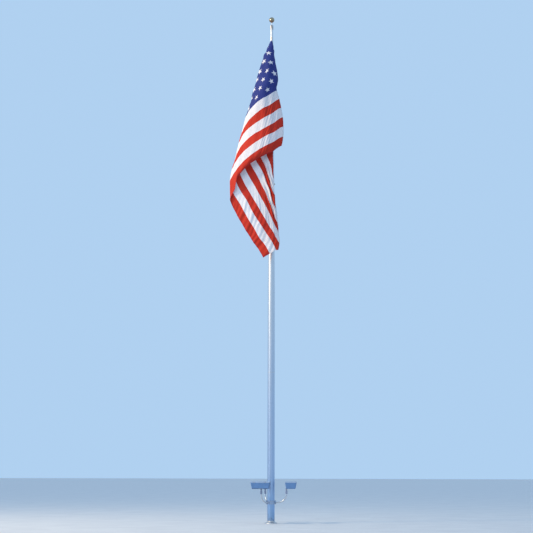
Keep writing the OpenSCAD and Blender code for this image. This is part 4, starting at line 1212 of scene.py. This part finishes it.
def solve(D, iters=300, wt=(.03, .30, .30, .03), wy=(.04, .03, .03, .06), tol=(.04, .05, .035, .025), comp=(.3, .05, .07, .3), seed=7, rough=.01, P=None, ytar=None, smooth=.05):
    """Position based cloth: threads hardly stretch, may crumple; seams are led to their guides."""
    T = D["P"].copy()
    if P is None: P = T.copy()
    nu, nv, _ = P.shape
    hu = FL / (nu - 1); hv = HO / (nv - 1)
    lay = D["lay"]
    wt = np.array(wt)[lay]; wy_ = np.array(wy)[lay]; tl = np.array(tol)[lay]
    r = D["r"]
    tl = tl * smoothstep(r / 1.5) + .004
    # the hoist panel follows its guide only beside the fold
    wt = np.where(lay == 0, wt + .45 * np.exp(-((D["U"] - D["uA"]) / .12)**2), wt)
    # near the corner follow the guides closely
    rng = np.random.RandomState(seed)
    P[:, :, 1] += rng.uniform(-1, 1, P.shape[:2]) * rough
    CF = np.array(comp)[lay]
    def link(a, b, L, ks, kc, ca):
        d = b - a
        l = np.sqrt((d * d).sum(-1)) + 1e-9
        c = (l - L) / l
        k = np.where(c > 0, ks, kc * ca)
        m = (0.5 * k * c)[..., None] * d
        a += m; b -= m
    def run(di, dj, L, ks, kc):
        """all links from (i,j) to (i+di,j+dj), in disjoint sets"""
        if dj == 0:
            for o in range(2 * di):
                n = (nu - di - o + 2 * di - 1) // (2 * di)
                if n <= 0: continue
                a = P[o:nu - di:2 * di]; b = P[o + di:nu:2 * di][:a.shape[0]]
                link(a, b, L, ks, kc, CF[o:nu - di:2 * di])
        elif di == 0:
            for o in range(2 * dj):
                a = P[:, o:nv - dj:2 * dj]; b = P[:, o + dj:nv:2 * dj][:, :a.shape[1]]
                if a.shape[1]: link(a, b, L, ks, kc, CF[:, o:nv - dj:2 * dj])
        else:
            s = 1 if dj > 0 else -1
            for o in range(2):
                if s > 0: a = P[o:nu - 1:2, :nv - 1]; b = P[o + 1:nu:2, 1:][:a.shape[0]]; ca = CF[o:nu - 1:2, :nv - 1]
                else: a = P[o:nu - 1:2, 1:]; b = P[o + 1:nu:2, :nv - 1][:a.shape[0]]; ca = CF[o:nu - 1:2, 1:]
                link(a, b, L, ks, kc, ca)
    hd = math.hypot(hu, hv)
    hoist = np.zeros(P.shape[:2], bool); hoist[0, :] = True
    for it in range(iters):
        # guides
        d = T - P
        P[:, :, 0] += wt * d[:, :, 0]; P[:, :, 2] += wt * d[:, :, 2]
        dy = T[:, :, 1] - P[:, :, 1]
        P[:, :, 1] += wy_ * dy
        P[:, :, 1] = np.clip(P[:, :, 1], T[:, :, 1] - tl, T[:, :, 1] + tl)
        # threads
        run(4, 0, 4 * hu, .5, .10); run(0, 4, 4 * hv, .5, .10)
        run(2, 0, 2 * hu, .5, .3); run(0, 2, 2 * hv, .5, .3)
        run(1, 1, hd, .35, .3); run(1, -1, hd, .35, .3)
        run(1, 0, hu, 1, 1); run(0, 1, hv, 1, 1)
        # a little stiffness
        if smooth:
            Q = P.copy()
            Q[1:-1] += smooth * ((P[:-2] + P[2:]) * .5 - P[1:-1])
            Q[:, 1:-1] += smooth * ((P[:, :-2] + P[:, 2:]) * .5 - P[:, 1:-1])
            P = Q
        P[hoist] = T[hoist]
        # keep off the pole
        P[:, :, 1] = np.minimum(P[:, :, 1], -.145 + .02 * (D["U"] < .1))
        P[hoist] = T[hoist]
    # the gathered corner keeps its guide's shape
    w = (1 - smoothstep((r - .45) / 1.15))[..., None]
    return cone(P * (1 - w) + T * w)

def cone(P):
    """draws the cloth under its upper corner in to a plain cone"""
    x, z = P[..., 0], P[..., 2]
    d = np.maximum(17.745 - z, 0.0)
    a, b = -(.010 + .43 * d), .016 + .17 * d
    mid, half = .5 * (a + b), .52 * (b - a)
    t = (x - mid) / half
    t = t / (1 + np.abs(t)**14)**(1 / 14)
    Q = P.copy()
    Q[..., 0] = x + smoothstep((z - 16.72) / .30) * (mid + half * t - x)
    return Q

def strain(P):
    nu, nv, _ = P.shape
    hu = FL / (nu - 1); hv = HO / (nv - 1)
    a = np.linalg.norm(np.diff(P, axis=0), axis=2) / hu
    b = np.linalg.norm(np.diff(P, axis=1), axis=2) / hv
    return a, b
def area(P):
    A = np.cross(P[1:, :-1] - P[:-1, :-1], P[:-1, 1:] - P[:-1, :-1])
    B = np.cross(P[1:, 1:] - P[1:, :-1], P[1:, 1:] - P[:-1, 1:])
    return .5 * (np.linalg.norm(A, axis=2).sum() + np.linalg.norm(B, axis=2).sum())

def refine(A, f=2):
    """smooth (cubic) upsampling of a grid of any channels"""
    def up(X):
        n = X.shape[0]
        Y = np.empty(((n - 1) * 2 + 1,) + X.shape[1:])
        Y[::2] = X
        mid = .5 * (X[:-1] + X[1:])
        mid[1:-1] = (9 * (X[1:-2] + X[2:-1]) - (X[:-3] + X[3:])) / 16
        Y[1::2] = mid
        return Y
    while f > 1:
        A = up(A); A = up(A.swapaxes(0, 1)).swapaxes(0, 1)
        f //= 2
    return A

def noise(U, V, sx, sy, seed):
    """smooth value noise, -1 to 1"""
    rng = np.random.RandomState(seed)
    G = rng.uniform(-1, 1, (64, 64))
    x = U / sx; y = V / sy
    i = np.floor(x).astype(int); j = np.floor(y).astype(int)
    fx = smoothstep(x - i); fy = smoothstep(y - j)
    g = lambda a, b: G[a % 64, b % 64]
    return (g(i, j) * (1 - fx) + g(i + 1, j) * fx) * (1 - fy) + (g(i, j + 1) * (1 - fx) + g(i + 1, j + 1) * fx) * fy

def normals(P):
    du = np.gradient(P, axis=0); dv = np.gradient(P, axis=1)
    N = np.cross(du, dv)
    return N / (np.linalg.norm(N, axis=2, keepdims=True) + 1e-12)

def ripples(P, U, V):
    """fine crumples, across the stripes"""
    uA = pchip(V, VA, UA); uB = pchip(V, VB, UB); uC = pchip(V, VC, UC)
    r = np.hypot(U, V)
    s1 = (U - uA) / np.maximum(uB - uA, .05)
    s2 = (U - uB) / np.maximum(uC - uB, .05)
    on1 = smoothstep(s1 / .08) * smoothstep((1 - s1) / .06)
    on2 = smoothstep(s2 / .06) * smoothstep((1 - s2) / .06)
    hide = 1 - np.maximum(on1, on2)
    w = noise(U, V, .5, .45, 1) * .9 + noise(U, V, .21, .3, 2) * .35
    amp = .55 + .45 * noise(U, V, .45, .5, 3)
    # front layer
    band = np.exp(-((P[..., 0] + .02 + .10 * (14.5 - P[..., 2])) / .30)**2)
    ph = 2 * np.pi * (U - .83 * V) / .145 + 2.2 * w
    d1 = .0062 * np.sin(ph) * amp * (.25 + 1.0 * band) * smoothstep((V - 1.9) / .8)
    ph = 2 * np.pi * (U - .55 * V) / .36 + 2.0 * noise(U, V, .8, .8, 9)
    d1 += .009 * np.sin(ph) * (.4 + .6 * band) * smoothstep(r / 2)
    # canton: shallow slanting crumples
    ph = 2 * np.pi * (V - .35 * U) / .33 + 2.0 * w
    d1 += .010 * np.sin(ph) * smoothstep((s1 - .35) / .6) * (1 - smoothstep((V - 2.2) / .5))
    # back layer
    vv = V - 3.3
    g = 1.33 * vv - .44 * vv * vv
    m = smoothstep((V - 2.9) / .9) * smoothstep((U - 5.0) / .6)
    ph = 2 * np.pi * (U - g) / .23 + 2.4 * w
    sh = np.sin(ph); sh = np.sign(sh) * np.abs(sh)**.8
    d2 = .0085 * sh * (.35 + .65 * np.clip(amp * 1.3, 0, 1)) * (.18 + .82 * m)
    ph = 2 * np.pi * (U - .8 * g) / .62 + 1.6 * noise(U, V, .9, .7, 5)
    d2 += .013 * np.sin(ph) * (.35 + .65 * m)
    # hidden layers
    ph = 2 * np.pi * (U * .6 - V) / .38 + 2.5 * w
    d3 = .008 * np.sin(ph) * amp
    d = d1 * on1 + d2 * on2 + d3 * hide * smoothstep(U / .3)
    d *= smoothstep(r / .8)
    return P + normals(P) * d[..., None]

D = initial(191, 115)
Q = solve(D, iters=250, wt=(0.03, 0.5, 0.5, 0.08), smooth=0.10, comp=(0.2, 0.08, 0.12, 0.15), tol=(0.04, 0.05, 0.035, 0.03))
Q = refine(Q, 2)
nu, nv = Q.shape[:2]
U, V = np.meshgrid(np.linspace(0, FL, nu), np.linspace(0, HO, nv), indexing="ij")
Q = ripples(Q, U, V)


def grid_mesh(name, P, UV, mat, body):
    n, m = P.shape[:2]
    me = bpy.data.meshes.new(name)
    idx = np.arange(n * m).reshape(n, m)
    quads = np.stack([idx[:-1, :-1], idx[1:, :-1], idx[1:, 1:], idx[:-1, 1:]], -1).reshape(-1, 4)
    me.vertices.add(n * m)
    me.vertices.foreach_set("co", P.reshape(-1).astype(np.float32))
    me.loops.add(quads.size)
    me.loops.foreach_set("vertex_index", quads.reshape(-1).astype(np.int32))
    me.polygons.add(len(quads))
    me.polygons.foreach_set("loop_start", (np.arange(len(quads)) * 4).astype(np.int32))
    me.polygons.foreach_set("use_smooth", np.ones(len(quads), bool))
    me.update(calc_edges=True)
    uv = me.uv_layers.new(name="cut")
    uv.data.foreach_set("uv", UV.reshape(-1, 2)[quads.reshape(-1)].reshape(-1).astype(np.float32))
    me.materials.append(mat)
    me.validate()
    o = bpy.data.objects.new(name, me)
    scene.collection.objects.link(o)
    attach(o, body)
    return o


flag = grid_mesh("flag_cloth", Q, np.stack([U / FL, V / FL], -1), M_FLAG, "truck")

# header tape along the hoist, doubled round the edge
N = normals(Q)
b = Build()
rows = []
js = range(0, nv, 2)
for j in js:
    ring = []
    for w, off in ((-0.006, 0), (0.0, 0.0024), (0.030, 0.0026), (0.056, 0.0022), (0.060, 0.0), (0.056, -0.0022), (0.030, -0.0026), (0.0, -0.0024)):
        f = max(w, 0) / (FL / (nu - 1))
        i = int(f)
        p = Q[i, j] * (1 - f + i) + Q[i + 1, j] * (f - i)
        nn = N[i, j] * (1 - f + i) + N[i + 1, j] * (f - i)
        d = Q[2, j] - Q[0, j]
        d = d / (np.linalg.norm(d) + 1e-9)
        p = p + (d * w if w < 0 else 0) + nn * off
        ring.append(tuple(p))
    rows.append(ring)
v = [p for r in rows for p in r]
f = []
for q in range(len(rows) - 1):
    for k in range(8):
        k2 = (k + 1) % 8
        f.append((q * 8 + k, q * 8 + k2, q * 8 + 8 + k2, q * 8 + 8 + k))
f.append(tuple(range(7, -1, -1)))
f.append(tuple(range(len(v) - 8, len(v))))
b.add(v, f)
header = b.make("flag_header", M_CANVAS, "truck", "flag", 70)

# grommets in the header's two ends
b = Build()
for j in (2, nv - 3):
    p = Vector(Q[1, j])
    m = Matrix.Translation(p) @ Vector(N[1, j]).to_track_quat("Z", "X").to_matrix().to_4x4()
    b.lathe([(0.0075, -0.0036), (0.0135, -0.0040), (0.0155, -0.0030), (0.0155, 0.0030), (0.0135, 0.0040), (0.0075, 0.0036)], m, 32)
grommets = b.make("flag_grommets", M_BRASS, "truck", "flag")

# snap hooks: each passes through its grommet and round the header's end
b = Build()
for j, z_end in ((2, 17.746), (nv - 3, 13.155)):
    g = Q[1, j]
    up = 1 if z_end > g[2] else -1
    lo, hi = g[2] - up * 0.0032, z_end + up * 0.0030
    half, mid = abs(hi - lo) / 2, (hi + lo) / 2
    pts = []
    for k in range(29):
        a = math.radians(90 + 346 * k / 28)
        s = math.sin(a)
        t = 0.5 - 0.5 * s
        pts.append((g[0] * t, -0.1282 * (1 - t) + (g[1] + 0.0004) * t + 0.0092 * math.cos(a), mid + up * half * s))
    b.tube(pts, 0.0026, seg=10)
b.make("snap_hooks", M_BRASS, "truck", "pivot_bolts", 60)
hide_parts("flag")

# ------------------------------------------------------------------- floor
me = bpy.data.meshes.new("floor")
bm = bmesh.new()
bmesh.ops.create_circle(bm, cap_ends=True, segments=96, radius=900)
bm.to_mesh(me)
bm.free()
floor = bpy.data.objects.new("floor", me)
scene.collection.objects.link(floor)
me.materials.append(floor_mat("floor_pale"))
